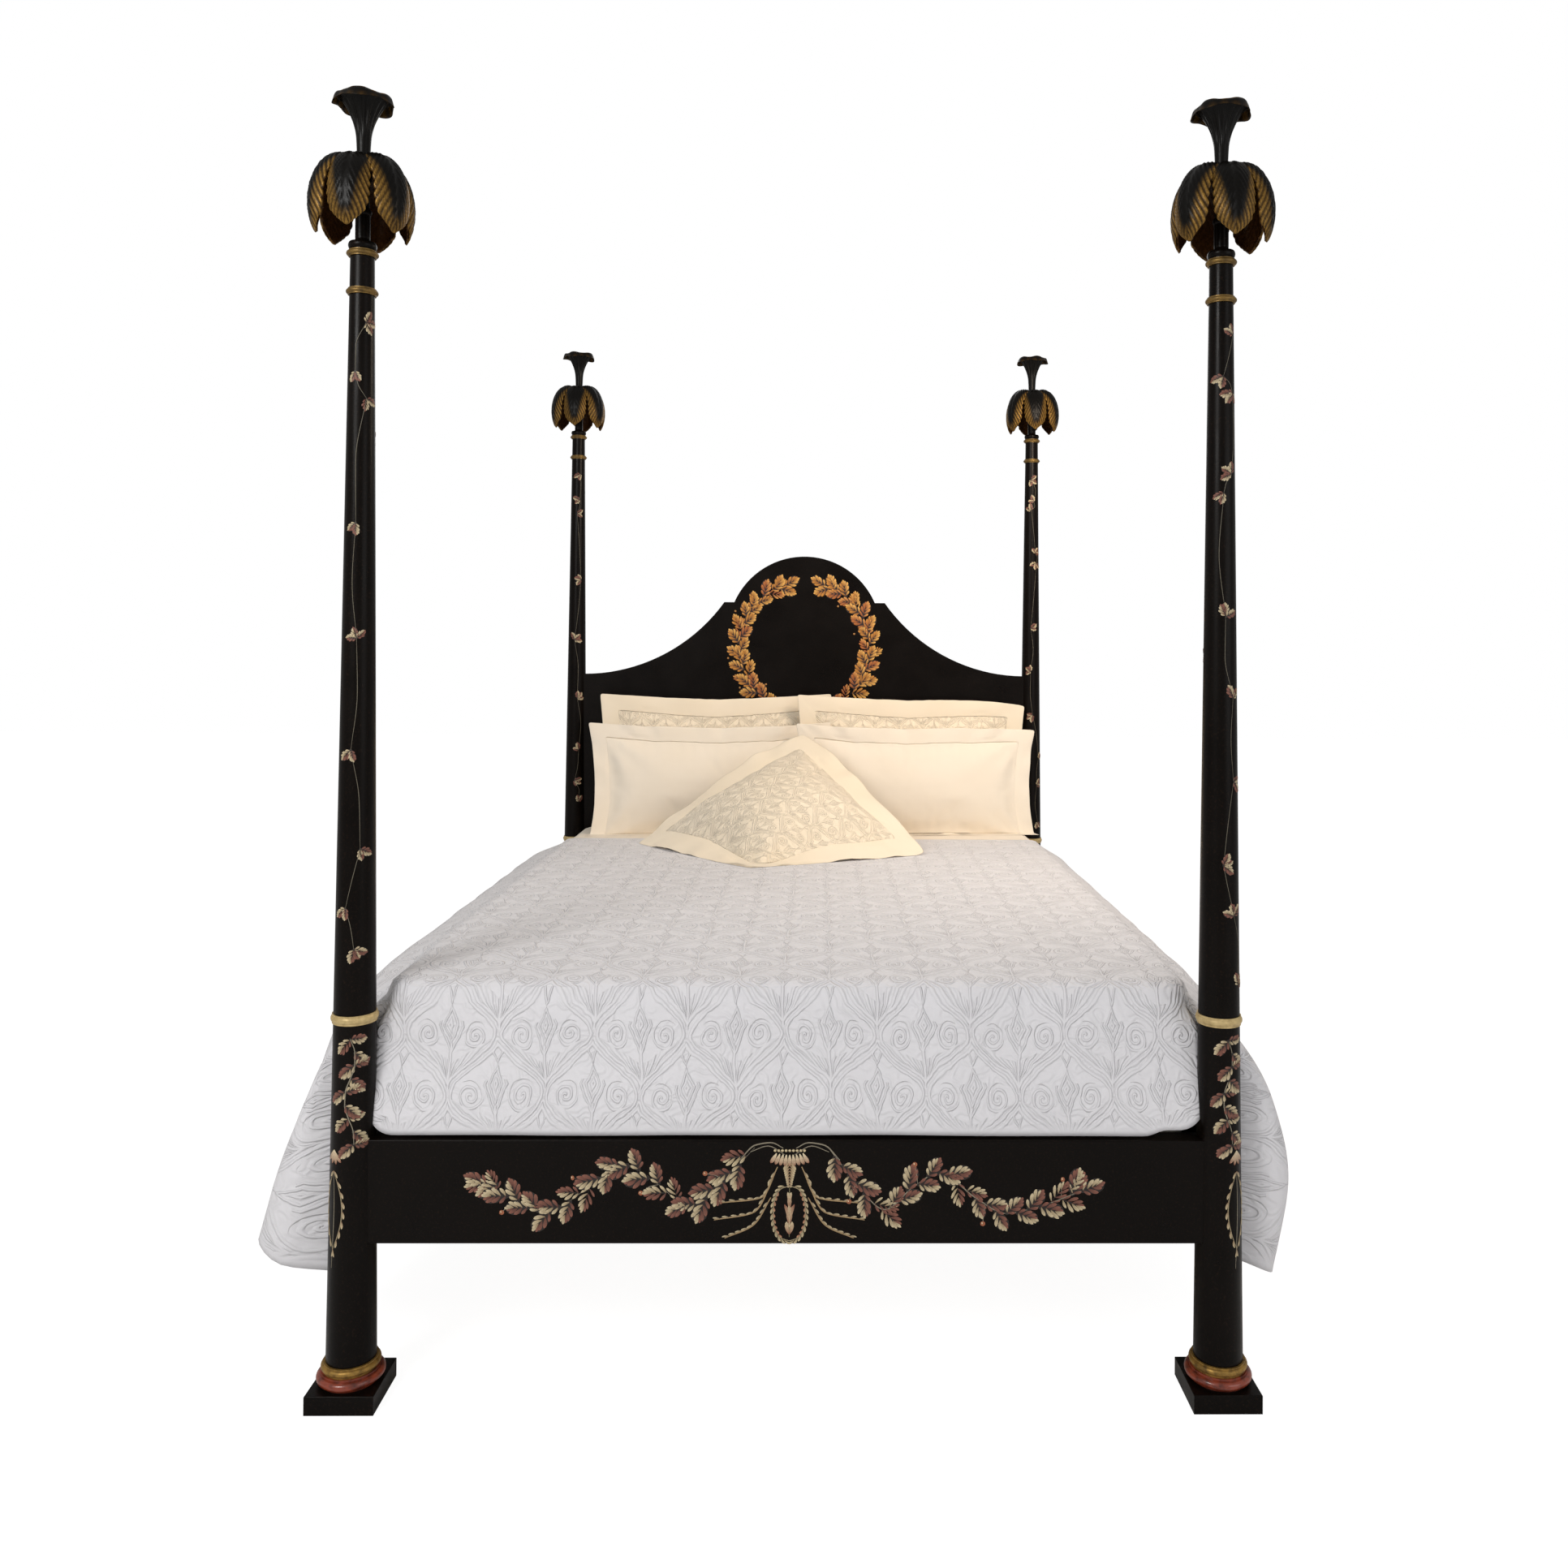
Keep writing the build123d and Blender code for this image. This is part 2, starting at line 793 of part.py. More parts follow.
def make_coverlet_top():
    """The top and the foot panel of the quilted coverlet, as one shell over the sheet."""
    grow = 2 * cloth_gap + sheet_thickness + coverlet_thickness
    front = -mattress_length / 2 - grow
    lip_z = coverlet_top_height - coverlet_lip
    with BuildPart() as cover:
        add(mattress_block(grow, 0.75 * mattress_height))
        add(mattress_block(grow - coverlet_thickness, 0.8 * mattress_height), mode=Mode.SUBTRACT)
        with Locations((0, front + coverlet_length + coverlet_thickness, 0)):
            Box(
                2 * mattress_width,
                mattress_length,
                4 * mattress_top,
                align=(Align.CENTER, Align.MIN, Align.CENTER),
                mode=Mode.SUBTRACT,
            )
        # Open corners: the foot panel hangs between the posts, apart from the sides
        panel_half = mattress_width / 2 - coverlet_corner_cut
        for side in (-1, 1):
            with Locations((side * panel_half, 0, lip_z)):
                Box(
                    mattress_width,
                    2 * mattress_length,
                    mattress_top,
                    align=(Align.MIN if side > 0 else Align.MAX, Align.CENTER, Align.MAX),
                    mode=Mode.SUBTRACT,
                )
        with Locations((0, 0, coverlet_top_height - coverlet_foot_drop)):
            Box(
                2 * mattress_width,
                2 * mattress_length,
                mattress_top,
                align=(Align.CENTER, Align.CENTER, Align.MAX),
                mode=Mode.SUBTRACT,
            )
    return cover.part


def drop_section(side, y, fold, flare):
    """Draws a side drop's outline across the bed at y, swung outwards by its fold and flare."""
    outer = mattress_width / 2 + 2 * cloth_gap + sheet_thickness + coverlet_thickness
    inner = outer - coverlet_thickness
    top = coverlet_top_height - coverlet_lip
    shoulder = Vector(outer + drop_shoulder_reach, coverlet_top_height - drop_shoulder_fall)
    rail = Vector(outer + drop_rail_reach + 0.45 * (fold + flare), coverlet_top_height - drop_rail_fall)
    hem = Vector(outer + drop_hem_reach + fold + flare, coverlet_top_height - drop_fall)
    thick = Vector(coverlet_thickness, 0)
    shoulder_thick = Vector(0.7 * coverlet_thickness, 0.7 * coverlet_thickness)
    with BuildSketch(Plane((0, y, 0), x_dir=(side, 0, 0), z_dir=(0, -side, 0))) as section:
        with BuildLine():
            ThreePointArc(
                (outer, top),
                (outer + 0.44 * drop_shoulder_reach, (top + shoulder.Y) / 2 + 8),
                shoulder,
            )
            ThreePointArc(shoulder, (shoulder + rail) / 2 + Vector(6, 2), rail)
            ThreePointArc(rail, (rail + hem) / 2 + Vector(2, 0), hem)
            Line(hem, hem - thick)
            ThreePointArc(hem - thick, (rail + hem) / 2 + Vector(2, 0) - thick, rail - thick)
            ThreePointArc(
                rail - thick,
                (shoulder - shoulder_thick + rail - thick) / 2 + Vector(6, 2),
                shoulder - shoulder_thick,
            )
            ThreePointArc(
                shoulder - shoulder_thick,
                (inner + 0.44 * drop_shoulder_reach, (top + shoulder.Y) / 2 + 4),
                (inner, top),
            )
            Line((inner, top), (outer, top))
        make_face()
    return section.sketch


def make_side_drop(side):
    """One side of the coverlet, hanging in soft folds and flaring behind the foot post."""
    front = -post_y + drop_foot_margin
    back = -mattress_length / 2 + coverlet_length
    count = 4 * drop_fold_count
    with BuildPart() as drop:
        sections = []
        for n in range(count + 1):
            y = front + (back - front) * n / count
            fold = -drop_fold_depth / 2 * cos(radians(90 * n))
            flare = drop_flare / 2 * (1 + cos(radians(180 * min(1.0, (y - front) / drop_flare_length))))
            sections.append(drop_section(side, y, fold, flare))
        loft(sections)
    return drop.part


def make_pillow(place, corner_angle, width, height, thickness, flange, pinch, rest_height):
    """A stuffed pillow with a flat flange: crowned faces, drawn-in sides, cut flat where it rests."""
    body_half_width = width / 2 - flange
    body_half_height = height / 2 - flange
    lean = radians((90 - corner_angle) / 2)
    along = Vector(cos(lean), sin(lean), 0)
    up = Vector(sin(lean), cos(lean), 0)
    seam = pillow_seam_thickness / 2
    with BuildPart() as pillow:
        for share in (-1.0, -0.86, -0.5, 0.0, 0.5, 0.86, 1.0):
            fullness = (1 - abs(share) ** 2.4) ** 0.62
            bulge = seam + 2 + (thickness / 2 - seam - 2) * fullness
            half_height = body_half_height - pinch * (1 - share**2)
            across = Plane(along * (share * body_half_width), x_dir=up, z_dir=up.cross(Vector(0, 0, 1)))
            with BuildSketch(across):
                with BuildLine():
                    ThreePointArc((-half_height, seam), (0, bulge), (half_height, seam))
                    Line((half_height, seam), (half_height, -seam))
                    ThreePointArc((half_height, -seam), (0, -bulge), (-half_height, -seam))
                    Line((-half_height, -seam), (-half_height, seam))
                make_face()
        loft()
        corner = [
            along * (a * width / 2) + up * (b * height / 2) for a, b in ((-1, -1), (1, -1), (1, 1), (-1, 1))
        ]
        middle = [
            up * (-height / 2 + pinch),
            along * (width / 2 - pinch),
            up * (height / 2 - pinch),
            along * (-width / 2 + pinch),
        ]
        with BuildSketch(Plane.XY.offset(-pillow_flange_thickness / 2)):
            with BuildLine():
                for n in range(4):
                    ThreePointArc(corner[n], middle[n], corner[(n + 1) % 4])
            make_face()
        extrude(amount=pillow_flange_thickness)
    below = Box(3 * width, 3 * width, 2 * height, align=(Align.CENTER, Align.CENTER, Align.MAX))
    below = below.moved(Location((place.origin.X, place.origin.Y, rest_height)))
    return pillow.part.moved(place.location) - below


def pillow_depth(width, height, thickness, lean):
    """How far a leaning, turned pillow's body reaches to the front or the back of its centre."""
    across = width / 2 * sin(radians(pillow_yaw))
    rise = height / 2 * sin(radians(lean))
    return sqrt(across**2 + rise**2 + (thickness / 2) ** 2)


def pillow_pair(width, height, thickness, flange, pinch, lean, centre_y):
    """Two pillows side by side, turned a little so that the right one lies before the left one."""
    pair = []
    turn = radians(pillow_yaw)
    tilt = radians(lean)
    along = Vector(cos(turn), sin(turn), 0)
    up = Vector(-sin(turn) * sin(tilt), cos(turn) * sin(tilt), cos(tilt))
    sunk = flange + pinch + pillow_sink
    rest = sheet_top + pillow_rest_gap
    for side in (-1, 1):
        centre = Vector(
            pillow_pair_centre + side * (width - pillow_overlap) / 2,
            centre_y,
            rest + (height / 2 - sunk) * cos(tilt),
        )
        place = Plane(centre, x_dir=along, z_dir=along.cross(up))
        pair.append(make_pillow(place, 90, width, height, thickness, flange, pinch, rest))
    return pair


def make_cushion(front_limit):
    """The square cushion, lying cornerwise and leaning back towards the pillows."""
    turn, slope = radians(cushion_turn), radians(cushion_slope)
    across = Vector(cos(turn), sin(turn), 0)
    rising = Vector(-sin(turn) * cos(slope), cos(turn) * cos(slope), sin(slope))
    reach = cushion_side * sin(radians(cushion_corner_angle / 2)) * rising.Y
    rest = coverlet_top_height + pillow_rest_gap
    centre = Vector(cushion_centre_x, front_limit - pillow_body_gap - reach, rest + cushion_rise)
    # The sides lie either side of the line from the bottom corner to the top one
    place = Plane(centre, x_dir=across - rising, z_dir=across.cross(rising))
    return make_pillow(
        place,
        cushion_corner_angle,
        cushion_side,
        cushion_side,
        cushion_thickness,
        cushion_flange,
        cushion_pinch,
        rest,
    )


os.makedirs("parts", exist_ok=True)

# The four corners: plinth, post, rings and finial
torus_centre = plinth_height + base_torus_height / 2
base_ring_centre = plinth_height + base_torus_height + base_ring_height / 2
corner_pieces = {
    "plinth": make_plinth(),
    "base_torus": make_ring(torus_centre, base_torus_radius, base_torus_height),
    "base_ring": make_ring(base_ring_centre, base_ring_radius, base_ring_height),
    "middle_ring": make_ring(middle_ring_centre, middle_ring_radius, middle_ring_height),
    "neck_rings": Compound(
        children=[
            make_ring(centre, neck_ring_radius, neck_ring_height)
            for centre in (neck_ring_centre, cap_ring_centre)
        ]
    ),
    "finial_core": make_finial_core(),
    "finial_leaves": make_finial_leaves(),
    "finial_flower": make_finial_flower(),
}
for corner_name, (side, end) in corners.items():
    x, y = side * post_x, end * post_y
    save(make_post(x, y, side, end), f"post_{corner_name}")
    for piece_name, piece in corner_pieces.items():
        placed = piece.moved(Location((x, y, 0)))
        if piece_name == "middle_ring" and end > 0:
            placed = placed - headboard_slot(side)
        save(placed, f"{piece_name}_{corner_name}")

# Boards, rails and their fittings
save(make_headboard(), "headboard")
save(make_end_rail(1), "head_rail")
save(make_end_rail(-1), "footboard")
for side_name, side in sides.items():
    save(make_side_rail(side), f"side_rail_{side_name}")
save(Compound(children=[make_slot_plate(x, y) for x in (-1, 1) for y in (-1, 1)]), "slot_plates")
save(Compound(children=[make_hook_plate(x, y) for x in (-1, 1) for y in (-1, 1)]), "rail_hooks")

# Slatted base
save(make_ledges(), "slat_ledges")
save(make_slats(), "slats")
with BuildPart() as center_beam:
    with Locations((0, 0, ledge_top)):
        Box(
            beam_width,
            2 * (board_face_y - beam_end_gap),
            beam_height,
            align=(Align.CENTER, Align.CENTER, Align.MAX),
        )
save(center_beam.part, "center_beam")
with BuildPart() as center_legs:
    with Locations((0, -leg_spacing / 2, 0), (0, leg_spacing / 2, 0)):
        Box(leg_side, leg_side, ledge_top - beam_height, align=(Align.CENTER, Align.CENTER, Align.MIN))
save(center_legs.part, "center_legs")
screws = slat_screws()
for side in (-1, 1):
    screws += ledge_screws(side)
    for end in (-1, 1):
        screws += slot_plate_screws(side, end) + hook_plate_screws(side, end)
save(Compound(children=screws), "wood_screws")

# Bedding
with BuildPart() as box_spring:
    with Locations((0, 0, slat_top)):
        Box(
            mattress_width - 2 * box_spring_inset,
            mattress_length - 2 * box_spring_inset,
            box_spring_height,
            align=(Align.CENTER, Align.CENTER, Align.MIN),
        )
    fillet(box_spring.edges().filter_by(Axis.Z), mattress_corner_radius)
save(box_spring.part, "box_spring")
save(mattress_block(0, 0), "mattress")
save(make_flat_sheet(), "flat_sheet")
save(make_coverlet_top(), "coverlet_top")
for side_name, side in sides.items():
    save(make_side_drop(side), f"coverlet_{side_name}_drop")

# Pillows, from the headboard forwards
headboard_face = post_y - headboard_thickness / 2
back_depth = pillow_depth(back_pillow_width, back_pillow_height, back_pillow_thickness, back_pillow_lean)
front_depth = pillow_depth(
    front_pillow_width, front_pillow_height, front_pillow_thickness, front_pillow_lean
)
back_y = headboard_face - pillow_body_gap - back_depth
front_y = back_y - pillow_body_gap - (back_pillow_thickness + front_pillow_thickness) / 2 - pillow_row_slack
back_pair = pillow_pair(
    back_pillow_width,
    back_pillow_height,
    back_pillow_thickness,
    back_pillow_flange,
    back_pillow_pinch,
    back_pillow_lean,
    back_y,
)
front_pair = pillow_pair(
    front_pillow_width,
    front_pillow_height,
    front_pillow_thickness,
    front_pillow_flange,
    front_pillow_pinch,
    front_pillow_lean,
    front_y,
)
for side_name, back_pillow, front_pillow in zip(sides, back_pair, front_pair, strict=True):
    save(back_pillow, f"pillow_back_{side_name}")
    save(front_pillow, f"pillow_front_{side_name}")
save(make_cushion(front_y - front_depth), "cushion")
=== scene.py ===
import math

import bmesh
import bpy
import numpy as np
from mathutils import Matrix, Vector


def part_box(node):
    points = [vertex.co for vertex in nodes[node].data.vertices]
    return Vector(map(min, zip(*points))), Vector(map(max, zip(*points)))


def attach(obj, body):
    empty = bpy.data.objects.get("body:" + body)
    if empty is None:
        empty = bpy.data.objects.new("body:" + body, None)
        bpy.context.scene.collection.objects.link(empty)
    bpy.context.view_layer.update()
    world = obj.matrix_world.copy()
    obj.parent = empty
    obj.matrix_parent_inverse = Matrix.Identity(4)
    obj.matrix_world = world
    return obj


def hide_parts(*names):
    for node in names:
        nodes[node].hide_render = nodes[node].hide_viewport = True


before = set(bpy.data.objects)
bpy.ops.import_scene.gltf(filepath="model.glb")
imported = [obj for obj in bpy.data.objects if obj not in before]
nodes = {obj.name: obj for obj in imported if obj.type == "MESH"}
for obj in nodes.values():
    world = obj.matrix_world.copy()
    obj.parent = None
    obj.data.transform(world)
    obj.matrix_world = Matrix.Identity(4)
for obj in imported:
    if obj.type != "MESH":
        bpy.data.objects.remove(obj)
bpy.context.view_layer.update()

scene = bpy.context.scene
mm = 0.001
print("frame loaded,", len(nodes), "nodes")


# ---- small tools ----

def linear(hexColour):
    # sRGB hex to the linear colour that Blender's sockets take
    parts = [int(hexColour[n:n + 2], 16) / 255 for n in (1, 3, 5)]
    return (*[c / 12.92 if c <= 0.04045 else ((c + 0.055) / 1.055) ** 2.4 for c in parts], 1.0)


def addNode(tree, kind, settings={}, links={}):
    # settings are the node's own properties or the values of its inputs; links are what its inputs read
    node = tree.nodes.new(kind)
    for name, value in settings.items():
        if isinstance(name, str) and hasattr(node, name):
            setattr(node, name, value)
        else:
            node.inputs[name].default_value = value
    for name, source in links.items():
        tree.links.new(source, node.inputs[name])
    return node


def newFinish(name):
    # an empty material with a shader at its end
    finish = bpy.data.materials.new(name)
    finish.use_nodes = True
    tree = finish.node_tree
    tree.nodes.clear()
    shader = addNode(tree, "ShaderNodeBsdfPrincipled")
    addNode(tree, "ShaderNodeOutputMaterial", {}, {"Surface": shader.outputs[0]})
    return finish, tree, shader


def wire(tree, shader, sources):
    for name, source in sources.items():
        tree.links.new(source, shader.inputs[name])


def numbered(grid, start=0):
    # the vertex numbers of a grid of points, from start on
    return start + np.arange(grid.shape[0] * grid.shape[1]).reshape(grid.shape[:2])


def gridFaces(index, closed=False):
    # four-cornered faces between neighbouring rows and columns of a grid of vertex numbers
    if closed:
        index = np.concatenate([index, index[:, :1]], axis=1)
    return np.stack([index[:-1, :-1], index[:-1, 1:], index[1:, 1:], index[1:, :-1]], axis=-1).reshape(-1, 4)


def makeMesh(name, points, faces, finish, uv=None, **attributes):
    # a mesh object at the origin from arrays of points and faces; attributes hold a value or colour a point
    groups = faces if isinstance(faces, list) else [faces]
    corners = np.concatenate([group.ravel() for group in groups]).astype(np.int32)
    sizes = np.concatenate([np.full(len(group), group.shape[1]) for group in groups])
    mesh = bpy.data.meshes.new(name)
    mesh.vertices.add(len(points))
    mesh.vertices.foreach_set("co", np.ascontiguousarray(points, dtype=np.float32).ravel())
    mesh.loops.add(len(corners))
    mesh.loops.foreach_set("vertex_index", corners)
    mesh.polygons.add(len(sizes))
    mesh.polygons.foreach_set("loop_start", np.concatenate([[0], np.cumsum(sizes)[:-1]]).astype(np.int32))
    mesh.update(calc_edges=True)
    mesh.polygons.foreach_set("use_smooth", np.ones(len(sizes), bool))
    if uv is not None:
        layer = mesh.uv_layers.new(name="cloth")
        layer.data.foreach_set("uv", np.asarray(uv, dtype=np.float32)[corners].ravel())
    for key, values in attributes.items():
        values = np.asarray(values, dtype=np.float32)
        if values.ndim == 1:
            mesh.attributes.new(key, "FLOAT", "POINT").data.foreach_set("value", values)
        else:
            mesh.attributes.new(key, "FLOAT_COLOR", "POINT").data.foreach_set("color", values.ravel())
    mesh.materials.append(finish)
    piece = bpy.data.objects.new(name, mesh)
    scene.collection.objects.link(piece)
    return piece


def smoothThrough(at, places, values):
    # a smooth curve through the values, which never swings past them: cubic pieces with harmonic mean slopes
    at, places = np.asarray(at, float), np.asarray(places, float)
    values = np.asarray(values, float)
    flat = values.reshape(len(places), -1)
    step = np.diff(places)[:, None]
    slope = np.diff(flat, axis=0) / step
    tangent = np.zeros_like(flat)
    tangent[0], tangent[-1] = slope[0], slope[-1]
    before, after = slope[:-1], slope[1:]
    same = before * after > 0
    w1, w2 = 2 * step[1:] + step[:-1], step[1:] + 2 * step[:-1]
    safeBefore, safeAfter = np.where(same, before, 1), np.where(same, after, 1)
    tangent[1:-1] = np.where(same, (w1 + w2) / (w1 / safeBefore + w2 / safeAfter), 0)
    k = np.clip(np.searchsorted(places, at, side="right") - 1, 0, len(places) - 2)
    u = ((at - places[k]) / step[k, 0])[..., None]
    h = step[k]
    out = ((2 * u**3 - 3 * u**2 + 1) * flat[k] + (u**3 - 2 * u**2 + u) * h * tangent[k]
           + (3 * u**2 - 2 * u**3) * flat[k + 1] + (u**3 - u**2) * h * tangent[k + 1])
    return out.reshape(at.shape + values.shape[1:])


def wayAlong(line):
    # how far each point of a line is from its first one
    return np.concatenate([[0], np.cumsum(np.linalg.norm(np.diff(line, axis=0), axis=1))])


def ease(t):
    # 0 to 1 with flat ends
    t = np.clip(t, 0, 1)
    return t * t * (3 - 2 * t)


def waves(x, y, seed, sizes, share=0.6):
    # a soft uneven surface: a few sine waves of set lengths in seeded directions, from about -1 to 1
    dice = np.random.default_rng(seed)
    total = 0.0
    for n, size in enumerate(sizes):
        angle, phase = dice.uniform(0, math.pi), dice.uniform(0, 2 * math.pi)
        total = total + share**n * np.sin(2 * math.pi * (x * math.cos(angle) + y * math.sin(angle)) / size
                                          + phase)
    return total / sum(share**n for n in range(len(sizes)))


# ---- camera, floor and light ----

cameraSettings = {
    "place": (0.0517, -3.3795, 1.3919),
    "yaw": 0.75, "pitch": 0.59, "roll": 0.36,  # degrees: turned to the right, up, and clockwise
    "lens": 28.8,
    "shift": (-0.0329, -0.0993),
}


def placeCamera(settings):
    yaw, pitch, roll = (math.radians(settings[name]) for name in ("yaw", "pitch", "roll"))
    ahead = np.array([math.sin(yaw) * math.cos(pitch), math.cos(yaw) * math.cos(pitch), math.sin(pitch)])
    right = np.array([math.cos(yaw), -math.sin(yaw), 0.0])
    up = np.cross(right, ahead)
    rolledRight = math.cos(roll) * right + math.sin(roll) * up
    rolledUp = math.cos(roll) * up - math.sin(roll) * right
    turn = Matrix(np.column_stack([rolledRight, rolledUp, -ahead]).tolist()).to_4x4()
    camera = bpy.data.objects.new("camera", bpy.data.cameras.new("camera"))
    camera.matrix_world = Matrix.Translation(settings["place"]) @ turn
    camera.data.lens = settings["lens"]
    camera.data.sensor_width = 36
    camera.data.shift_x, camera.data.shift_y = settings["shift"]
    scene.collection.objects.link(camera)
    scene.camera = camera


placeCamera(cameraSettings)
scene.view_settings.view_transform = "Standard"

stageSettings = {
    "floorSize": 30.0,
    "floorColour": "#f2f2f2",
    # how much of what the camera sees of the floor is plain white; the rest takes the shadow
    "floorGlow": 0.74,
    "worldLight": 0.46,
    "worldColour": "#f7f5f2",
}


def makeStage(settings):
    # a pale floor that keeps the bed's shadow, and a white surround for what the camera and transmission
    # rays see
    half = settings["floorSize"] / 2
    finish, tree, shader = newFinish("pale floor")
    shader.inputs["Base Color"].default_value = linear(settings["floorColour"])
    shader.inputs["Roughness"].default_value = 0.9
    rays = addNode(tree, "ShaderNodeLightPath")
    seen = addNode(tree, "ShaderNodeMath", {"operation": "MAXIMUM"},
                   {0: rays.outputs["Is Camera Ray"], 1: rays.outputs["Is Transmission Ray"]})
    share = addNode(tree, "ShaderNodeMath", {"operation": "MULTIPLY", 1: settings["floorGlow"]},
                    {0: seen.outputs[0]})
    white = addNode(tree, "ShaderNodeEmission", {"Color": (1, 1, 1, 1), "Strength": 1.26})
    mix = addNode(tree, "ShaderNodeMixShader", {}, {0: share.outputs[0], 1: shader.outputs[0],
                                                    2: white.outputs[0]})
    tree.links.new(mix.outputs[0],
                   next(n for n in tree.nodes if n.type == "OUTPUT_MATERIAL").inputs["Surface"])
    corners = np.array([[-half, -half, 0], [half, -half, 0], [half, half, 0], [-half, half, 0]])
    floor = makeMesh("floor", corners, np.array([[0, 1, 2, 3]]), finish)
    world = bpy.data.worlds.new("surround")
    world.use_nodes = True
    tree = world.node_tree
    tree.nodes.clear()
    rays = addNode(tree, "ShaderNodeLightPath")
    seen = addNode(tree, "ShaderNodeMath", {"operation": "MAXIMUM"},
                   {0: rays.outputs["Is Camera Ray"], 1: rays.outputs["Is Transmission Ray"]})
    soft = addNode(tree, "ShaderNodeBackground", {"Color": linear(settings["worldColour"]),
                                                  "Strength": settings["worldLight"]})
    white = addNode(tree, "ShaderNodeBackground", {"Color": (1, 1, 1, 1), "Strength": 1.0})
    mix = addNode(tree, "ShaderNodeMixShader", {}, {0: seen.outputs[0], 1: soft.outputs[0],
                                                    2: white.outputs[0]})
    addNode(tree, "ShaderNodeOutputWorld", {}, {"Surface": mix.outputs[0]})
    scene.world = world


lamps = {
    "key": {"place": (-2.1, -3.8, 2.9), "aim": (0.0, -0.4, 0.7), "size": 1.3, "power": 70,
            "colour": "#fffefc"},
    "fill": {"place": (3.0, -3.6, 1.9), "aim": (0.0, -0.4, 0.7), "size": 2.6, "power": 26,
             "colour": "#fbfbfc"},
    "bedside": {"place": (0.95, -0.15, 2.3), "aim": (0.1, 0.95, 0.95), "size": 0.45, "power": 18,
                "colour": "#ffead2"},
    "back": {"place": (0.4, 3.6, 3.2), "aim": (0.0, 0.4, 1.0), "size": 2.4, "power": 22,
             "colour": "#ffffff"},
}


def hangLamp(name, settings):
    lamp = bpy.data.lights.new(name, "AREA")
    lamp.shape = "DISK"
    lamp.size = settings["size"]
    lamp.energy = settings["power"]
    lamp.color = linear(settings["colour"])[:3]
    place, aim = np.array(settings["place"]), np.array(settings["aim"])
    back = (place - aim) / np.linalg.norm(place - aim)
    right = np.cross([0, 0, 1], back)
    right /= np.linalg.norm(right)
    holder = bpy.data.objects.new(name, lamp)
    turn = Matrix(np.column_stack([right, np.cross(back, right), back]).tolist()).to_4x4()
    holder.matrix_world = Matrix.Translation(place.tolist()) @ turn
    scene.collection.objects.link(holder)


makeStage(stageSettings)
for lampName, lampSettings in lamps.items():
    hangLamp(lampName, lampSettings)
print("camera, floor and lamps ready")


# ---- finishes of the wood and metal ----

def blackLacquer():
    # hand-brushed black lacquer over brown paint, rubbed: satin, with a warm brown showing in faint specks
    finish, tree, shader = newFinish("black lacquer")
    coords = addNode(tree, "ShaderNodeTexCoord").outputs["Object"]
    cloud = addNode(tree, "ShaderNodeTexNoise", {"Scale": 9.0, "Detail": 5.0, "Roughness": 0.6},
                    {"Vector": coords})
    specks = addNode(tree, "ShaderNodeTexNoise", {"Scale": 260.0, "Detail": 3.0}, {"Vector": coords})  # 4 mm
    worn = addNode(tree, "ShaderNodeMapRange", {"From Min": 0.56, "From Max": 0.78, "To Max": 0.55},
                   {"Value": specks.outputs["Fac"]})
    ground = addNode(tree, "ShaderNodeMix", {"data_type": "RGBA", 6: linear("#060403"),
                                             7: linear("#0f0a07")},
                     {0: cloud.outputs["Fac"]})
    colour = addNode(tree, "ShaderNodeMix", {"data_type": "RGBA", 7: linear("#2a1c13")},
                     {0: worn.outputs[0], 6: ground.outputs[2]})
    rough = addNode(tree, "ShaderNodeMapRange", {"From Min": 0.3, "From Max": 0.7, "To Min": 0.26,
                                                 "To Max": 0.4},
                    {"Value": cloud.outputs["Fac"]})
    brushed = addNode(tree, "ShaderNodeMapping", {"Scale": (1.0, 1.0, 0.12)}, {"Vector": coords})
    strokes = addNode(tree, "ShaderNodeTexNoise", {"Scale": 420.0, "Detail": 2.0},
                      {"Vector": brushed.outputs[0]})
    relief = addNode(tree, "ShaderNodeMath", {"operation": "ADD"},
                     {0: strokes.outputs["Fac"], 1: specks.outputs["Fac"]})
    bump = addNode(tree, "ShaderNodeBump", {"Strength": 0.35, "Distance": 0.3 * mm},
                   {"Height": relief.outputs[0]})
    shader.inputs["Specular IOR Level"].default_value = 0.1
    wire(tree, shader, {"Base Color": colour.outputs[2],
                        "Roughness": rough.outputs[0],
                        "Normal": bump.outputs[0]})
    return finish


def antiqueGilt(name, light, dark, metal, glaze):
    # bronze-powder gilding under a brown glaze: soft gleam, with brown left in the low and rubbed places
    finish, tree, shader = newFinish(name)
    coords = addNode(tree, "ShaderNodeTexCoord").outputs["Object"]
    patches = addNode(tree, "ShaderNodeTexNoise", {"Scale": 70.0, "Detail": 6.0, "Roughness": 0.65},
                      {"Vector": coords})
    glazed = addNode(tree, "ShaderNodeMapRange", {"From Min": 0.42, "From Max": 0.7, "To Max": glaze},
                     {"Value": patches.outputs["Fac"]})
    colour = addNode(tree, "ShaderNodeMix", {"data_type": "RGBA", 6: linear(light), 7: linear(dark)},
                     {0: glazed.outputs[0]})
    rough = addNode(tree, "ShaderNodeMapRange", {"To Min": 0.32, "To Max": 0.6},
                    {"Value": patches.outputs["Fac"]})
    bump = addNode(tree, "ShaderNodeBump", {"Strength": 0.5, "Distance": 0.4 * mm},
                   {"Height": patches.outputs["Fac"]})
    shader.inputs["Metallic"].default_value = metal
    wire(tree, shader, {"Base Color": colour.outputs[2],
                        "Roughness": rough.outputs[0],
                        "Normal": bump.outputs[0]})
    return finish


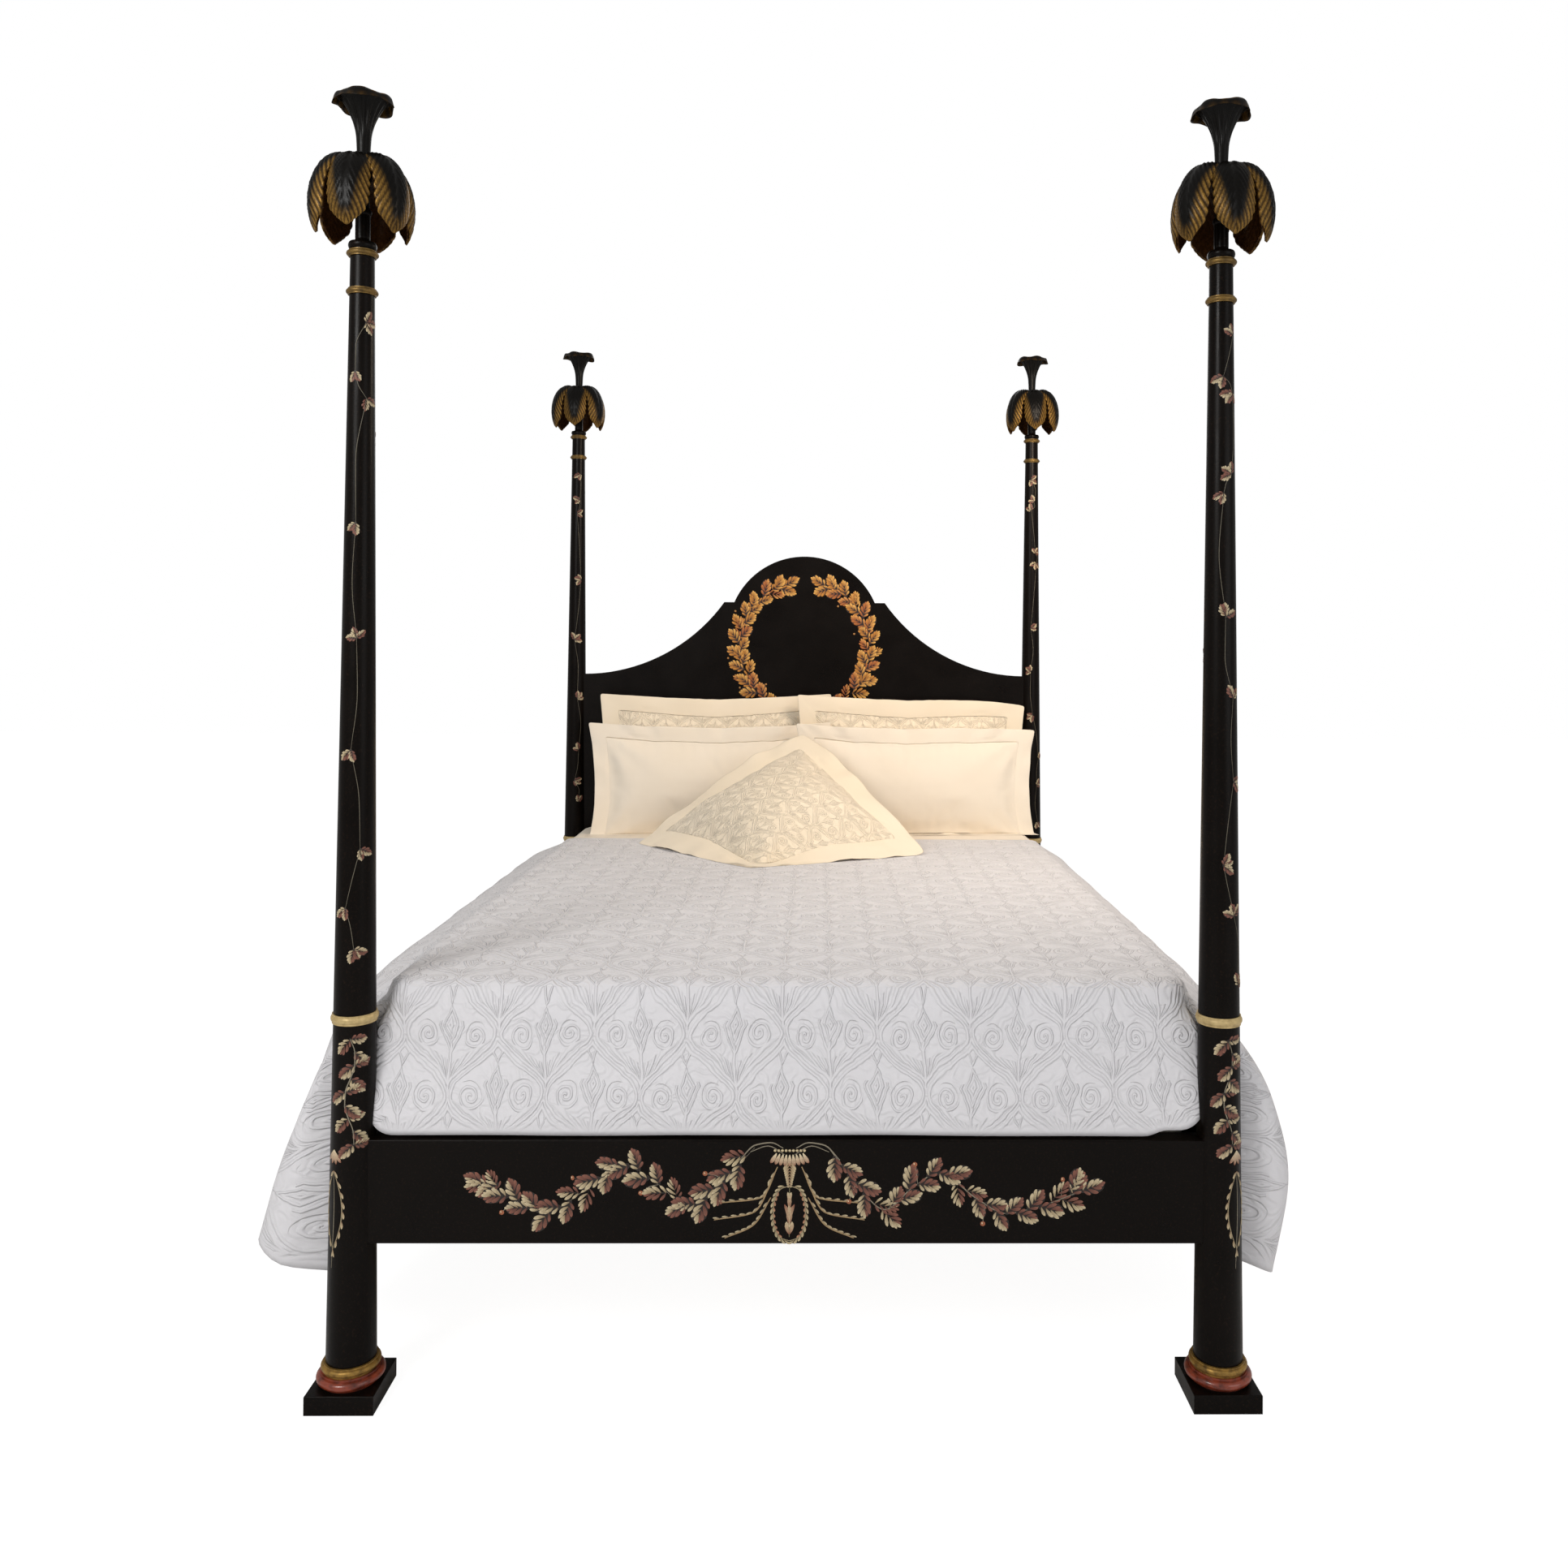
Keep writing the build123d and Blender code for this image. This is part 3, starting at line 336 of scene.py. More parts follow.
def redLacquer():
    # red-brown lacquer, dabbed over black: mottled and glossy
    finish, tree, shader = newFinish("red lacquer")
    coords = addNode(tree, "ShaderNodeTexCoord").outputs["Object"]
    dabs = addNode(tree, "ShaderNodeTexNoise", {"Scale": 55.0, "Detail": 6.0, "Roughness": 0.6},
                   {"Vector": coords})
    share = addNode(tree, "ShaderNodeMapRange", {"From Min": 0.42, "From Max": 0.68},
                    {"Value": dabs.outputs["Fac"]})
    colour = addNode(tree, "ShaderNodeMix", {"data_type": "RGBA", 6: linear("#8a3a24"),
                                             7: linear("#3c1710")},
                     {0: share.outputs[0]})
    bump = addNode(tree, "ShaderNodeBump", {"Strength": 0.4, "Distance": 0.4 * mm},
                   {"Height": dabs.outputs["Fac"]})
    shader.inputs["Roughness"].default_value = 0.32
    shader.inputs["Coat Weight"].default_value = 0.3
    wire(tree, shader, {"Base Color": colour.outputs[2], "Normal": bump.outputs[0]})
    return finish


def plainWood():
    # sawn softwood, unfinished: pale, with soft growth bands along the board
    finish, tree, shader = newFinish("sawn softwood")
    coords = addNode(tree, "ShaderNodeTexCoord").outputs["Object"]
    stretched = addNode(tree, "ShaderNodeMapping", {"Scale": (0.6, 14.0, 14.0)}, {"Vector": coords})
    grain = addNode(tree, "ShaderNodeTexNoise", {"Scale": 6.0, "Detail": 6.0, "Distortion": 0.6},
                    {"Vector": stretched.outputs[0]})
    colour = addNode(tree, "ShaderNodeValToRGB", {}, {0: grain.outputs["Fac"]})
    colour.color_ramp.elements[0].color = linear("#d8b98a")
    colour.color_ramp.elements[0].position = 0.35
    colour.color_ramp.elements[1].color = linear("#a97f4d")
    colour.color_ramp.elements[1].position = 0.68
    bump = addNode(tree, "ShaderNodeBump", {"Strength": 0.4, "Distance": 0.5 * mm},
                   {"Height": grain.outputs["Fac"]})
    shader.inputs["Roughness"].default_value = 0.72
    wire(tree, shader, {"Base Color": colour.outputs[0], "Normal": bump.outputs[0]})
    return finish


def zincSteel():
    # zinc-plated pressed steel: cool grey with a faint crystal spangle
    finish, tree, shader = newFinish("zinc plated steel")
    coords = addNode(tree, "ShaderNodeTexCoord").outputs["Object"]
    spangle = addNode(tree, "ShaderNodeTexVoronoi", {"Scale": 300.0}, {"Vector": coords})
    colour = addNode(tree, "ShaderNodeMix", {"data_type": "RGBA", 6: linear("#b9bdc0"),
                                             7: linear("#95999c")},
                     {0: spangle.outputs["Distance"]})
    rough = addNode(tree, "ShaderNodeMapRange", {"To Min": 0.28, "To Max": 0.45},
                    {"Value": spangle.outputs["Distance"]})
    shader.inputs["Metallic"].default_value = 1.0
    wire(tree, shader, {"Base Color": colour.outputs[2], "Roughness": rough.outputs[0]})
    return finish


lacquer = blackLacquer()
gilt = antiqueGilt("antique gilding", "#a5813f", "#3a2812", 0.6, 0.8)
# the neck rings take a darker copy of the same gilding
darkGilt = antiqueGilt("darker neck gilding", "#80642f", "#2c1f0f", 0.5, 0.8)
paleGilt = antiqueGilt("pale gilding", "#cbb37e", "#82683a", 0.25, 0.6)
red = redLacquer()
wood = plainWood()
steel = zincSteel()
nodeFinishes = {
    "post": lacquer, "plinth": lacquer, "headboard": lacquer, "head_rail": lacquer, "footboard": lacquer,
    "side_rail": lacquer, "finial_core": lacquer, "base_torus": red, "base_ring": gilt,
    "neck_rings": darkGilt,
    "middle_ring": paleGilt, "slat_ledges": wood, "slats": wood, "center_beam": wood, "center_legs": wood,
    "wood_screws": steel, "rail_hooks": steel, "slot_plates": steel,
}
for nodeName, node in nodes.items():
    for start, finish in nodeFinishes.items():
        if nodeName.startswith(start):
            node.data.materials.clear()
            node.data.materials.append(finish)
print("wood and metal finished")


# ---- cloth finishes ----

# The quilted pattern: a lattice of pointed cells between double lines, each cell with a stem that fans into
# leaves, a bud, two scrolls and a small bud above. Every line names a value and how it comes from earlier
# values or numbers. u and v are distances on the cloth in cell widths, a and b are across and up in a cell.
# A WELT is a rounded ridge where a value is near its middle, of about the given half width.
quiltSteps = [
    ("fold", "PINGPONG", "u", 0.5), ("rise", "FRACT", "v"),
    ("angle", "MULTIPLY", "rise", 2 * math.pi), ("cosine", "COSINE", "angle"),
    ("edge", "MULTIPLY_ADD", "cosine", -0.25, 0.25),
    ("sine", "SINE", "angle"), ("steep", "MULTIPLY", "sine", "sine"),
    ("steeper", "MULTIPLY_ADD", "steep", 2.47, 1.0), ("slant", "SQRT", "steeper"),
    ("gap", "SUBTRACT", "fold", "edge"), ("gapSize", "ABSOLUTE", "gap"),
    ("distance", "DIVIDE", "gapSize", "slant"), ("inside", "LESS_THAN", "gap", 0.0),
    ("otherSide", "SUBTRACT", 0.5, "fold"), ("sideStep", "SUBTRACT", "fold", "otherSide"),
    ("a", "MULTIPLY_ADD", "sideStep", "inside", "otherSide"),
    ("halfUp", "ADD", "v", 0.5), ("riseOther", "FRACT", "halfUp"),
    ("riseStep", "SUBTRACT", "rise", "riseOther"),
    ("b", "MULTIPLY_ADD", "riseStep", "inside", "riseOther"),
    ("edgeLine", "WELT", "distance", 0.029, 0.016),
    ("stemLine", "WELT", "a", 0.0, 0.016), ("stemPart", "LESS_THAN", "b", 0.42),
    ("stem", "MULTIPLY", "stemLine", "stemPart"),
    # the fan of leaves that parts from the stem
    ("fanRise", "SUBTRACT", "b", 0.02), ("fanFrom", "MAXIMUM", "fanRise", 0.03),
    ("fanBend", "POWER", "fanFrom", 1.6),
    ("fan", "DIVIDE", "a", "fanBend"),
    ("fanInner", "WELT", "fan", 0.45, 0.14), ("fanMiddle", "WELT", "fan", 0.95, 0.16),
    ("fanOuter", "WELT", "fan", 1.55, 0.19), ("fanPair", "MAXIMUM", "fanInner", "fanMiddle"),
    ("fanAll", "MAXIMUM", "fanPair", "fanOuter"), ("fanTip", "MULTIPLY_ADD", "a", 0.45, 0.26),
    ("fanPart", "LESS_THAN", "b", "fanTip"), ("leaves", "MULTIPLY", "fanAll", "fanPart"),
    # the bud's outline and heart, and the cup under it
    ("budUp", "SUBTRACT", "b", 0.57), ("budTall", "ABSOLUTE", "budUp"),
    ("budHigh", "DIVIDE", "budTall", 0.135),
    ("budWide", "DIVIDE", "a", 0.07), ("bud", "ADD", "budHigh", "budWide"),
    ("budLine", "WELT", "bud", 1.0, 0.17),
    ("budHeart", "WELT", "bud", 0.25, 0.22), ("cupLine", "WELT", "bud", 1.75, 0.17),
    ("cupPart", "LESS_THAN", "budUp", 0.035), ("cup", "MULTIPLY", "cupLine", "cupPart"),
    # the scrolls beside the bud
    ("coilX", "SUBTRACT", "a", 0.265), ("coilY", "SUBTRACT", "b", 0.49),
    ("coilX2", "MULTIPLY", "coilX", "coilX"),
    ("coilR2", "MULTIPLY_ADD", "coilY", "coilY", "coilX2"), ("coilR", "SQRT", "coilR2"),
    ("coilAngle", "ARCTAN2", "coilY", "coilX"), ("coilTurn", "DIVIDE", "coilAngle", 2 * math.pi),
    ("coil", "MULTIPLY_ADD", "coilR", 17.0, "coilTurn"), ("coilPlace", "FRACT", "coil"),
    ("coilLine", "WELT", "coilPlace", 0.5, 0.2), ("coilPart", "LESS_THAN", "coilR", 0.125),
    ("scroll", "MULTIPLY", "coilLine", "coilPart"),
    # the small bud at the cell's top
    ("topUp", "SUBTRACT", "b", 0.84), ("topTall", "ABSOLUTE", "topUp"),
    ("topHigh", "DIVIDE", "topTall", 0.09),
    ("topWide", "DIVIDE", "a", 0.045), ("topBud", "ADD", "topHigh", "topWide"),
    ("topLine", "WELT", "topBud", 1.0, 0.22),
    ("m1", "MAXIMUM", "edgeLine", "stem"), ("m2", "MAXIMUM", "m1", "leaves"),
    ("m3", "MAXIMUM", "m2", "budLine"),
    ("m4", "MAXIMUM", "m3", "budHeart"), ("m5", "MAXIMUM", "m4", "cup"), ("m6", "MAXIMUM", "m5", "scroll"),
    ("height", "MAXIMUM", "m6", "topLine"),
]


def quiltHeight(tree, u, v):
    # adds the steps as nodes and returns the pattern's height
    made = {"u": u, "v": v}

    def step(operation, *values):
        settings, links = {"operation": operation}, {}
        for n, value in enumerate(values):
            if isinstance(value, (int, float)):
                settings[n] = value
            else:
                links[n] = value
        return addNode(tree, "ShaderNodeMath", settings, links).outputs[0]

    for name, operation, *values in quiltSteps:
        values = [made.get(value, value) if isinstance(value, str) else value for value in values]
        if operation == "WELT":  # 1 / (1 + (off / width) to the fourth)
            off = step("DIVIDE", step("SUBTRACT", values[0], values[1]), values[2])
            square = step("MULTIPLY", off, off)
            made[name] = step("DIVIDE", 1.0, step("MULTIPLY_ADD", square, square, 1.0))
        else:
            made[name] = step(operation, *values)
    return made["height"]


def clothFinish(name, colour, shade, thread, sheen, quilt=None, scale=0.176):
    # woven cotton: matt, with a soft sheen; the weave's spacing, thread, is coarser than the real 0.3 mm
    finish, tree, shader = newFinish(name)
    coords = addNode(tree, "ShaderNodeTexCoord")
    place = coords.outputs["Object"]
    cloud = addNode(tree, "ShaderNodeTexNoise", {"Scale": 7.0, "Detail": 4.0}, {"Vector": place})
    tint = addNode(tree, "ShaderNodeMix", {"data_type": "RGBA", 6: linear(colour), 7: linear(shade)},
                   {0: cloud.outputs["Fac"]})
    weave = addNode(tree, "ShaderNodeTexNoise", {"Scale": 1 / thread, "Detail": 2.0}, {"Vector": place})
    height = weave.outputs["Fac"]
    shader.inputs["Roughness"].default_value = 0.85
    shader.inputs["Sheen Weight"].default_value = sheen
    shader.inputs["Sheen Roughness"].default_value = 0.5
    bump = addNode(tree, "ShaderNodeBump", {"Strength": 0.25, "Distance": 0.25 * mm}, {"Height": height})
    colourEnd = tint.outputs[2]
    if quilt:
        spread = addNode(tree, "ShaderNodeMapping", {"Scale": (1 / scale, 0.81 / scale, 1)},
                         {"Vector": coords.outputs["UV"]})
        drift = addNode(tree, "ShaderNodeTexNoise", {"Scale": 13.0, "Detail": 3.0},
                        {"Vector": coords.outputs["UV"]})
        shaken = addNode(tree, "ShaderNodeVectorMath", {"operation": "MULTIPLY_ADD", 1: (0.13, 0.13, 0)},
                         # hand-guided lines, 10 mm astray
                         {0: drift.outputs["Color"], 2: spread.outputs[0]})
        axes = addNode(tree, "ShaderNodeSeparateXYZ", {}, {0: shaken.outputs[0]})
        welts = quiltHeight(tree, axes.outputs[0], axes.outputs[1])
        mask = addNode(tree, "ShaderNodeAttribute", {"attribute_name": "quilt"}).outputs["Fac"]
        curls = addNode(tree, "ShaderNodeTexNoise", {"Scale": 21.0, "Detail": 1.0},
                        {"Vector": coords.outputs["UV"]})
        turns = addNode(tree, "ShaderNodeMath", {"operation": "MULTIPLY", 1: 44.0},
                        {0: curls.outputs["Fac"]})
        lines = addNode(tree, "ShaderNodeMath", {"operation": "SINE"}, {0: turns.outputs[0]})
        ground = addNode(tree, "ShaderNodeMath", {"operation": "MULTIPLY_ADD", 1: 0.22, 2: 0.22},
                         # curling stitched lines between the figures, about 9 mm apart
                         {0: lines.outputs[0]})
        relief = addNode(tree, "ShaderNodeMath", {"operation": "MAXIMUM"}, {0: ground.outputs[0], 1: welts})
        height = addNode(tree, "ShaderNodeMath", {"operation": "MULTIPLY"}, {0: relief.outputs[0], 1: mask})
        quiltBump = addNode(tree, "ShaderNodeBump", {"Strength": 1.0, "Distance": quilt},
                            {"Height": height.outputs[0], "Normal": bump.outputs[0]})
        bump = quiltBump
    wire(tree, shader, {"Base Color": colourEnd, "Normal": bump.outputs[0]})
    return finish


whiteMatelasse = clothFinish("white matelasse", "#e5e4e8", "#dddce0", 1.2 * mm, 0.15, quilt=2.8 * mm)
ivoryMatelasse = clothFinish("ivory matelasse", "#f8ebd6", "#efe1c8", 1.2 * mm, 0.2, quilt=2.4 * mm,
                             scale=0.085)
ivoryCotton = clothFinish("ivory percale", "#f1e7d8", "#ebdfcc", 0.9 * mm, 0.15)
ticking = clothFinish("mattress ticking", "#e9e4d8", "#ddd6c6", 1.5 * mm, 0.1)
print("cloth finishes ready")


# ---- coverlet ----

coverlet = {
    "spacing": 10.5 * mm,
    "edgeRadius": 37 * mm,  # how softly the top turns down
    "cornerRadius": 67 * mm,
    "footHem": 0.4795,  # it rests on the footboard's top
    "footReach": 35 * mm,
    "footCorner": 45 * mm,  # the foot panel's lower corners
    "sideDrop": 0.56,
    "plainHem": 20 * mm,
    "thickness": 5 * mm,
    "foldDepth": 17 * mm,
    "footSwell": 12 * mm,
    # Lines down each side near the foot, from the edge of the top to the hem: (across, along, up), in
    # metres. The cloth swings out behind the foot post, and its end folds back in behind the post.
    "falls": {
        "left": {
            "plain": [(0.0, 0.0), (0.110, 0.052), (0.146, 0.135), (0.158, 0.240), (0.165, 0.530)],
            "ridge": [(0.7693, -0.950, 0.711), (0.866, -0.955, 0.628), (0.927, -0.957, 0.499),
                      (0.978, -0.950, 0.372), (1.016, -0.945, 0.240)],
            "front": [(0.760, -0.985, 0.711), (0.850, -1.000, 0.630), (0.895, -1.006, 0.520),
                      (0.912, -1.004, 0.380), (0.945, -0.998, 0.212)],
            "end": [(0.749, -1.003, 0.711), (0.775, -0.998, 0.640), (0.790, -0.993, 0.540),
                    (0.797, -0.990, 0.400), (0.830, -0.988, 0.196)],
        },
        "right": {
            "plain": [(0.0, 0.0), (0.090, 0.066), (0.122, 0.155), (0.137, 0.245), (0.150, 0.530)],
            "ridge": [(0.7693, -0.950, 0.711), (0.872, -0.960, 0.622), (0.932, -0.965, 0.510),
                      (0.960, -0.968, 0.370), (0.928, -0.975, 0.190)],
            "front": [(0.760, -0.985, 0.711), (0.845, -1.000, 0.625), (0.885, -1.008, 0.520),
                      (0.905, -1.008, 0.380), (0.880, -1.000, 0.214)],
            "end": [(0.749, -1.003, 0.711), (0.775, -0.998, 0.640), (0.790, -0.993, 0.520),
                    (0.800, -0.990, 0.390), (0.806, -0.988, 0.238)],
        },
    },
}


def roundCorner(px, py):
    # squares about an arc's centre become quarter discs; px and py are distances from the centre in radii
    inCorner = (px > 0) & (py > 0)
    reach = np.maximum(px, py)
    return inCorner, reach, np.where(inCorner, reach / np.maximum(np.hypot(px, py), 1e-9), 1)


def makeCoverlet(settings):
    # One sheet on a grid across and along the bed. The top lies flat and turns down over the edge; the grid
    # goes on down each side and down the foot. The corners between side and foot are cut, so those parts
    # hang apart.
    low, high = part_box("coverlet_top")
    top, half, foot, head = high[2], high[0], low[1], high[1]
    radius, corner, spacing = settings["edgeRadius"], settings["cornerRadius"], settings["spacing"]
    across = np.linspace(-half, half, round(2 * half / spacing) + 1)
    along = np.linspace(head, foot, round((head - foot) / spacing) + 1)
    x, y = np.meshgrid(across, along)
    flatX, flatY = x.copy(), y.copy()
    px, py = (np.abs(x) - (half - corner)) / corner, ((foot + corner) - y) / corner
    inCorner, reach, scale = roundCorner(px, py)
    x = np.where(inCorner, np.sign(x) * (half - corner + px * scale * corner), x)
    y = np.where(inCorner, foot + corner - py * scale * corner, y)
    fromEdge = np.where(inCorner, corner * (1 - reach), np.minimum(half - np.abs(flatX), flatY - foot))
    inner = np.clip(radius - fromEdge, 0, radius)
    # away from the foot the sides turn down less, and the drops go on from there in a wide shoulder
    beside = half - np.abs(flatX) < flatY - foot
    softer = np.where(beside, 1 - 0.6 * ease((flatY - foot - 0.10) / 0.30), 1)
    z = top - (radius - np.sqrt(np.maximum(radius**2 - inner**2, 0))) * softer
    topGrid = np.stack([x, y, z], axis=-1)
    edgeArc = radius * (math.pi / 2 - 1)  # the turn's extra length of cloth
    grown = edgeArc * ease((radius - fromEdge) / radius)
    uvTop = np.stack([flatX + np.sign(flatX) * grown * (half - np.abs(flatX) < flatY - foot),
                      flatY - grown * (half - np.abs(flatX) >= flatY - foot)], axis=-1)

    points, uvs, faces, count = [topGrid.reshape(-1, 3)], [uvTop.reshape(-1, 2)], [], x.size
    hems = [ease((head - flatY) / settings["plainHem"] - 0.3).ravel()]  # the quilting stops at a plain hem
    index = numbered(x)
    faces.append(gridFaces(index)[:, ::-1])

    # down the foot: the panel falls in a soft curve between the bed and the footboard
    rim = topGrid[-1]
    fall = rim[:, 2].mean() - settings["footHem"]
    rows = round(fall / spacing)
    t = np.linspace(0, 1, rows + 1)[1:, None]
    down = fall * t
    swell = 0.5 + 0.5 * waves(rim[:, 0] + 0 * down, down, 5, (0.62, 0.41, 0.27))
    straighten = ease(down / 0.06)
    # free between the top and the footboard
    hang = np.sin(math.pi * np.clip(down / (fall - 0.03), 0, 1)) ** 0.8
    footX = rim[:, 0] + (across - rim[:, 0]) * straighten
    footY = rim[:, 1] + (foot - rim[:, 1]) * straighten - settings["footSwell"] * swell * hang
    footY = footY - settings["footReach"] * ease((down - 0.05) / (fall - 0.05))
    footZ = rim[:, 2] - down + 1.5 * mm * (1 + waves(across, across, 9, (0.5, 0.23, 0.11))) * t
    corner = settings["footCorner"]
    px, py = (np.abs(across) - (half - corner)) / corner + 0 * t, (down - (fall - corner)) / corner
    inCorner, _, scale = roundCorner(px, py)
    footX = np.where(inCorner, np.sign(across) * (half - corner + corner * px * scale), footX)
    footZ = np.where(inCorner, footZ + corner * py * (1 - scale), footZ)
    footZ = footZ + 11 * mm * ease((across - 0.66) / 0.04) * t  # the right end is rucked up
    hems.append((ease((fall - down) / settings["plainHem"] - 0.3) + 0 * across).ravel())
    footGrid = np.stack([footX, footY, footZ], axis=-1)
    footIndex = np.concatenate([index[-1:], numbered(footX, count)])
    faces.append(gridFaces(footIndex)[:, ::-1])
    points.append(footGrid.reshape(-1, 3))
    uvs.append(np.stack([across + 0 * down, uvTop[-1, :, 1] - down], axis=-1).reshape(-1, 2))
    count += footX.size

    for sideName, side in (("left", -1), ("right", 1)):
        falls = settings["falls"][sideName]
        column = 0 if side < 0 else -1
        rim = topGrid[:, column] * [side, 1, 1]
        plain = np.array(falls["plain"])
        shares = np.linspace(0, 1, len(plain))
        rows = round(settings["sideDrop"] / spacing)
        t = np.linspace(0, 1, rows + 1)
        # straight part: the plain line down, swung in and out by folds that grow towards the hem
        plainDown = smoothThrough(t, shares, plain)
        phase = rim[:, 1] / 0.27 + 0.35 * np.sin(rim[:, 1] * 5.1 + side)
        fold = settings["foldDepth"] * (np.sin(2 * math.pi * phase)
                                        + 0.35 * np.sin(2 * math.pi * phase * 2.3 + 1))
        grows = ease(t / 0.9) ** 1.2
        straight = np.stack([rim[:, 0][:, None] + plainDown[:, 0] + fold[:, None] * grows,
                             rim[:, 1][:, None] + 0.2 * fold[:, None] * grows,
                             rim[:, 2][:, None] - plainDown[:, 1] + 0 * fold[:, None]], axis=-1)
        # the foot end: between the key lines
        lengthAlong = wayAlong(rim)
        total = lengthAlong[-1]
        places = [total - 0.34, total - 0.20, total - 0.085, total - 0.035, total]
        start = np.array([np.interp(total - 0.34, lengthAlong, rim[:, n]) for n in range(3)])
        nextOne = np.array([np.interp(total - 0.20, lengthAlong, rim[:, n]) for n in range(3)])
        keyLines = [
            start + np.stack([plainDown[:, 0], 0 * t, -plainDown[:, 1]], axis=-1),
            nextOne + np.stack([plainDown[:, 0] + 0.022 * t, -0.01 * t, -plainDown[:, 1]], axis=-1),
            smoothThrough(t, shares, np.array(falls["ridge"])),
            smoothThrough(t, shares, np.array(falls["front"])),
            smoothThrough(t, shares, np.array(falls["end"])),
        ]
        swung = smoothThrough(lengthAlong, places, np.stack(keyLines))
        share = ease((lengthAlong - places[0] + 0.10) / 0.20)[:, None, None]
        shape = straight * (1 - share) + swung * share
        # keep the rim itself where the top ends
        hold = (1 - ease(t / 0.12))[None, :, None]
        shape = shape + (rim[:, None, :] - shape[:, :1, :]) * hold
        shape = shape[:, 1:] * [side, 1, 1]
        sideIndex = np.concatenate([index[:, column][:, None], numbered(shape, count)], axis=1)
        turned = gridFaces(sideIndex)
        faces.append(turned if side < 0 else turned[:, ::-1])
        points.append(shape.reshape(-1, 3))
        down = t[1:] * settings["sideDrop"]
        uvs.append(np.stack([side * (half + edgeArc + down)[None, :] + 0 * rim[:, :1],
                             flatY[:, column][:, None] + 0 * down[None, :]], axis=-1).reshape(-1, 2))
        hems.append((ease((settings["sideDrop"] - down) / settings["plainHem"] - 0.3)[None, :]
                     + 0 * rim[:, :1]).ravel())
        count += shape.shape[0] * shape.shape[1]

    points, uvs = np.concatenate(points), np.concatenate(uvs)
    faces = np.concatenate(faces)
    piece = makeMesh("coverlet", points, faces, whiteMatelasse, uv=uvs, quilt=np.concatenate(hems))
    solid = piece.modifiers.new("thickness", "SOLIDIFY")
    solid.thickness = settings["thickness"]
    solid.offset = -1
    return piece


coverletPiece = makeCoverlet(coverlet)
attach(coverletPiece, "bed")
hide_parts("coverlet_top", "coverlet_left_drop", "coverlet_right_drop")
print("coverlet draped")

# ---- sheet, mattress and box spring ----

def rimLoop(grid):
    # the numbers round a grid's edge, in order
    return np.concatenate([grid[0, :-1], grid[:-1, -1], grid[-1, :0:-1], grid[:0:-1, 0]])


def roundedPlan(settings, spacing):
    # A grid over a rectangle whose corner squares are pushed in to quarter discs. Also gives how far each
    # point is from the plan's edge.
    half, ends, corner = settings["half"], settings["ends"], settings["corner"]
    x, y = np.meshgrid(np.linspace(-half, half, round(2 * half / spacing) + 1),
                       np.linspace(-ends, ends, round(2 * ends / spacing) + 1))
    px, py = (np.abs(x) - (half - corner)) / corner, (np.abs(y) - (ends - corner)) / corner
    inCorner, reach, scale = roundCorner(px, py)
    newX = np.where(inCorner, np.sign(x) * (half - corner + px * scale * corner), x)
    newY = np.where(inCorner, np.sign(y) * (ends - corner + py * scale * corner), y)
    fromEdge = np.where(inCorner, corner * (1 - reach), np.minimum(half - np.abs(x), ends - np.abs(y)))
    return newX, newY, fromEdge


def outwards(rim, inner):
    # the way out at each point of a rounded rim, away from an inner rectangle of this half size
    out = rim - np.clip(rim, -inner, inner)
    return out / np.maximum(np.linalg.norm(out, axis=1, keepdims=True), 1e-9)


def turnDown(fromEdge, radius):
    # how far a surface has dropped near its edge, on a quarter circle
    inner = np.clip(radius - fromEdge, 0, radius)
    return radius - np.sqrt(np.maximum(radius**2 - inner**2, 0))


sheetSettings = {
    "half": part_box("flat_sheet")[1][0], "ends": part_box("flat_sheet")[1][1], "corner": 62 * mm,
    "radius": 32 * mm, "top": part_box("flat_sheet")[1][2], "hem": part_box("flat_sheet")[0][2],
    "spacing": 15 * mm, "thickness": 1.5 * mm,
    "wrinkles": (0.700, 0.790), "wrinkleHeight": 3.2 * mm,  # between the coverlet and the pillows
}


def makeSheet(settings):
    # top: flat, dropping at its edge on a quarter circle; then straight down to the hem, in waves
    x, y, fromEdge = roundedPlan(settings, settings["spacing"])
    z = settings["top"] - turnDown(fromEdge, settings["radius"])
    first, last = settings["wrinkles"]
    zone = ease((y - first) / 0.02) * ease((last - y) / 0.02)
    rucks = np.maximum(0,
                       np.sin(2 * math.pi * (y / 0.031 + 0.35 * np.sin(x * 6.1) + 0.2 * np.sin(x * 15 + 1))))
    z = z + settings["wrinkleHeight"] * zone * rucks**2 * (0.55 + 0.45 * waves(x, y, 3, (0.5, 0.3)))
    index = numbered(x)
    top = np.stack([x, y, z], axis=-1).reshape(-1, 3)
    rim = rimLoop(index)
    start = top[rim]
    t = np.linspace(0, 1, 12)[1:, None]
    out = outwards(start[:, :2], np.array([0.70, 0.95]))
    way = np.arange(len(start)) * settings["spacing"]
    ripple = 4 * mm * np.maximum(0, waves(way, way * 0, 11, (0.34, 0.19, 0.12))) * ease(t)
    plan = start[None, :, :2] + out[None] * ripple[..., None]
    depth = (start[:, 2] - settings["hem"])[None, :] * t
    drop = np.concatenate([plan, (start[None, :, 2] - depth)[..., None]], axis=-1)
    ring = np.concatenate([rim[None], numbered(drop, len(top))])
    points = np.concatenate([top, drop.reshape(-1, 3)])
    piece = makeMesh("flat_sheet_cloth", points,
                     np.concatenate([gridFaces(index), gridFaces(ring, closed=True)[:, ::-1]]),
                     ivoryCotton)
    return piece


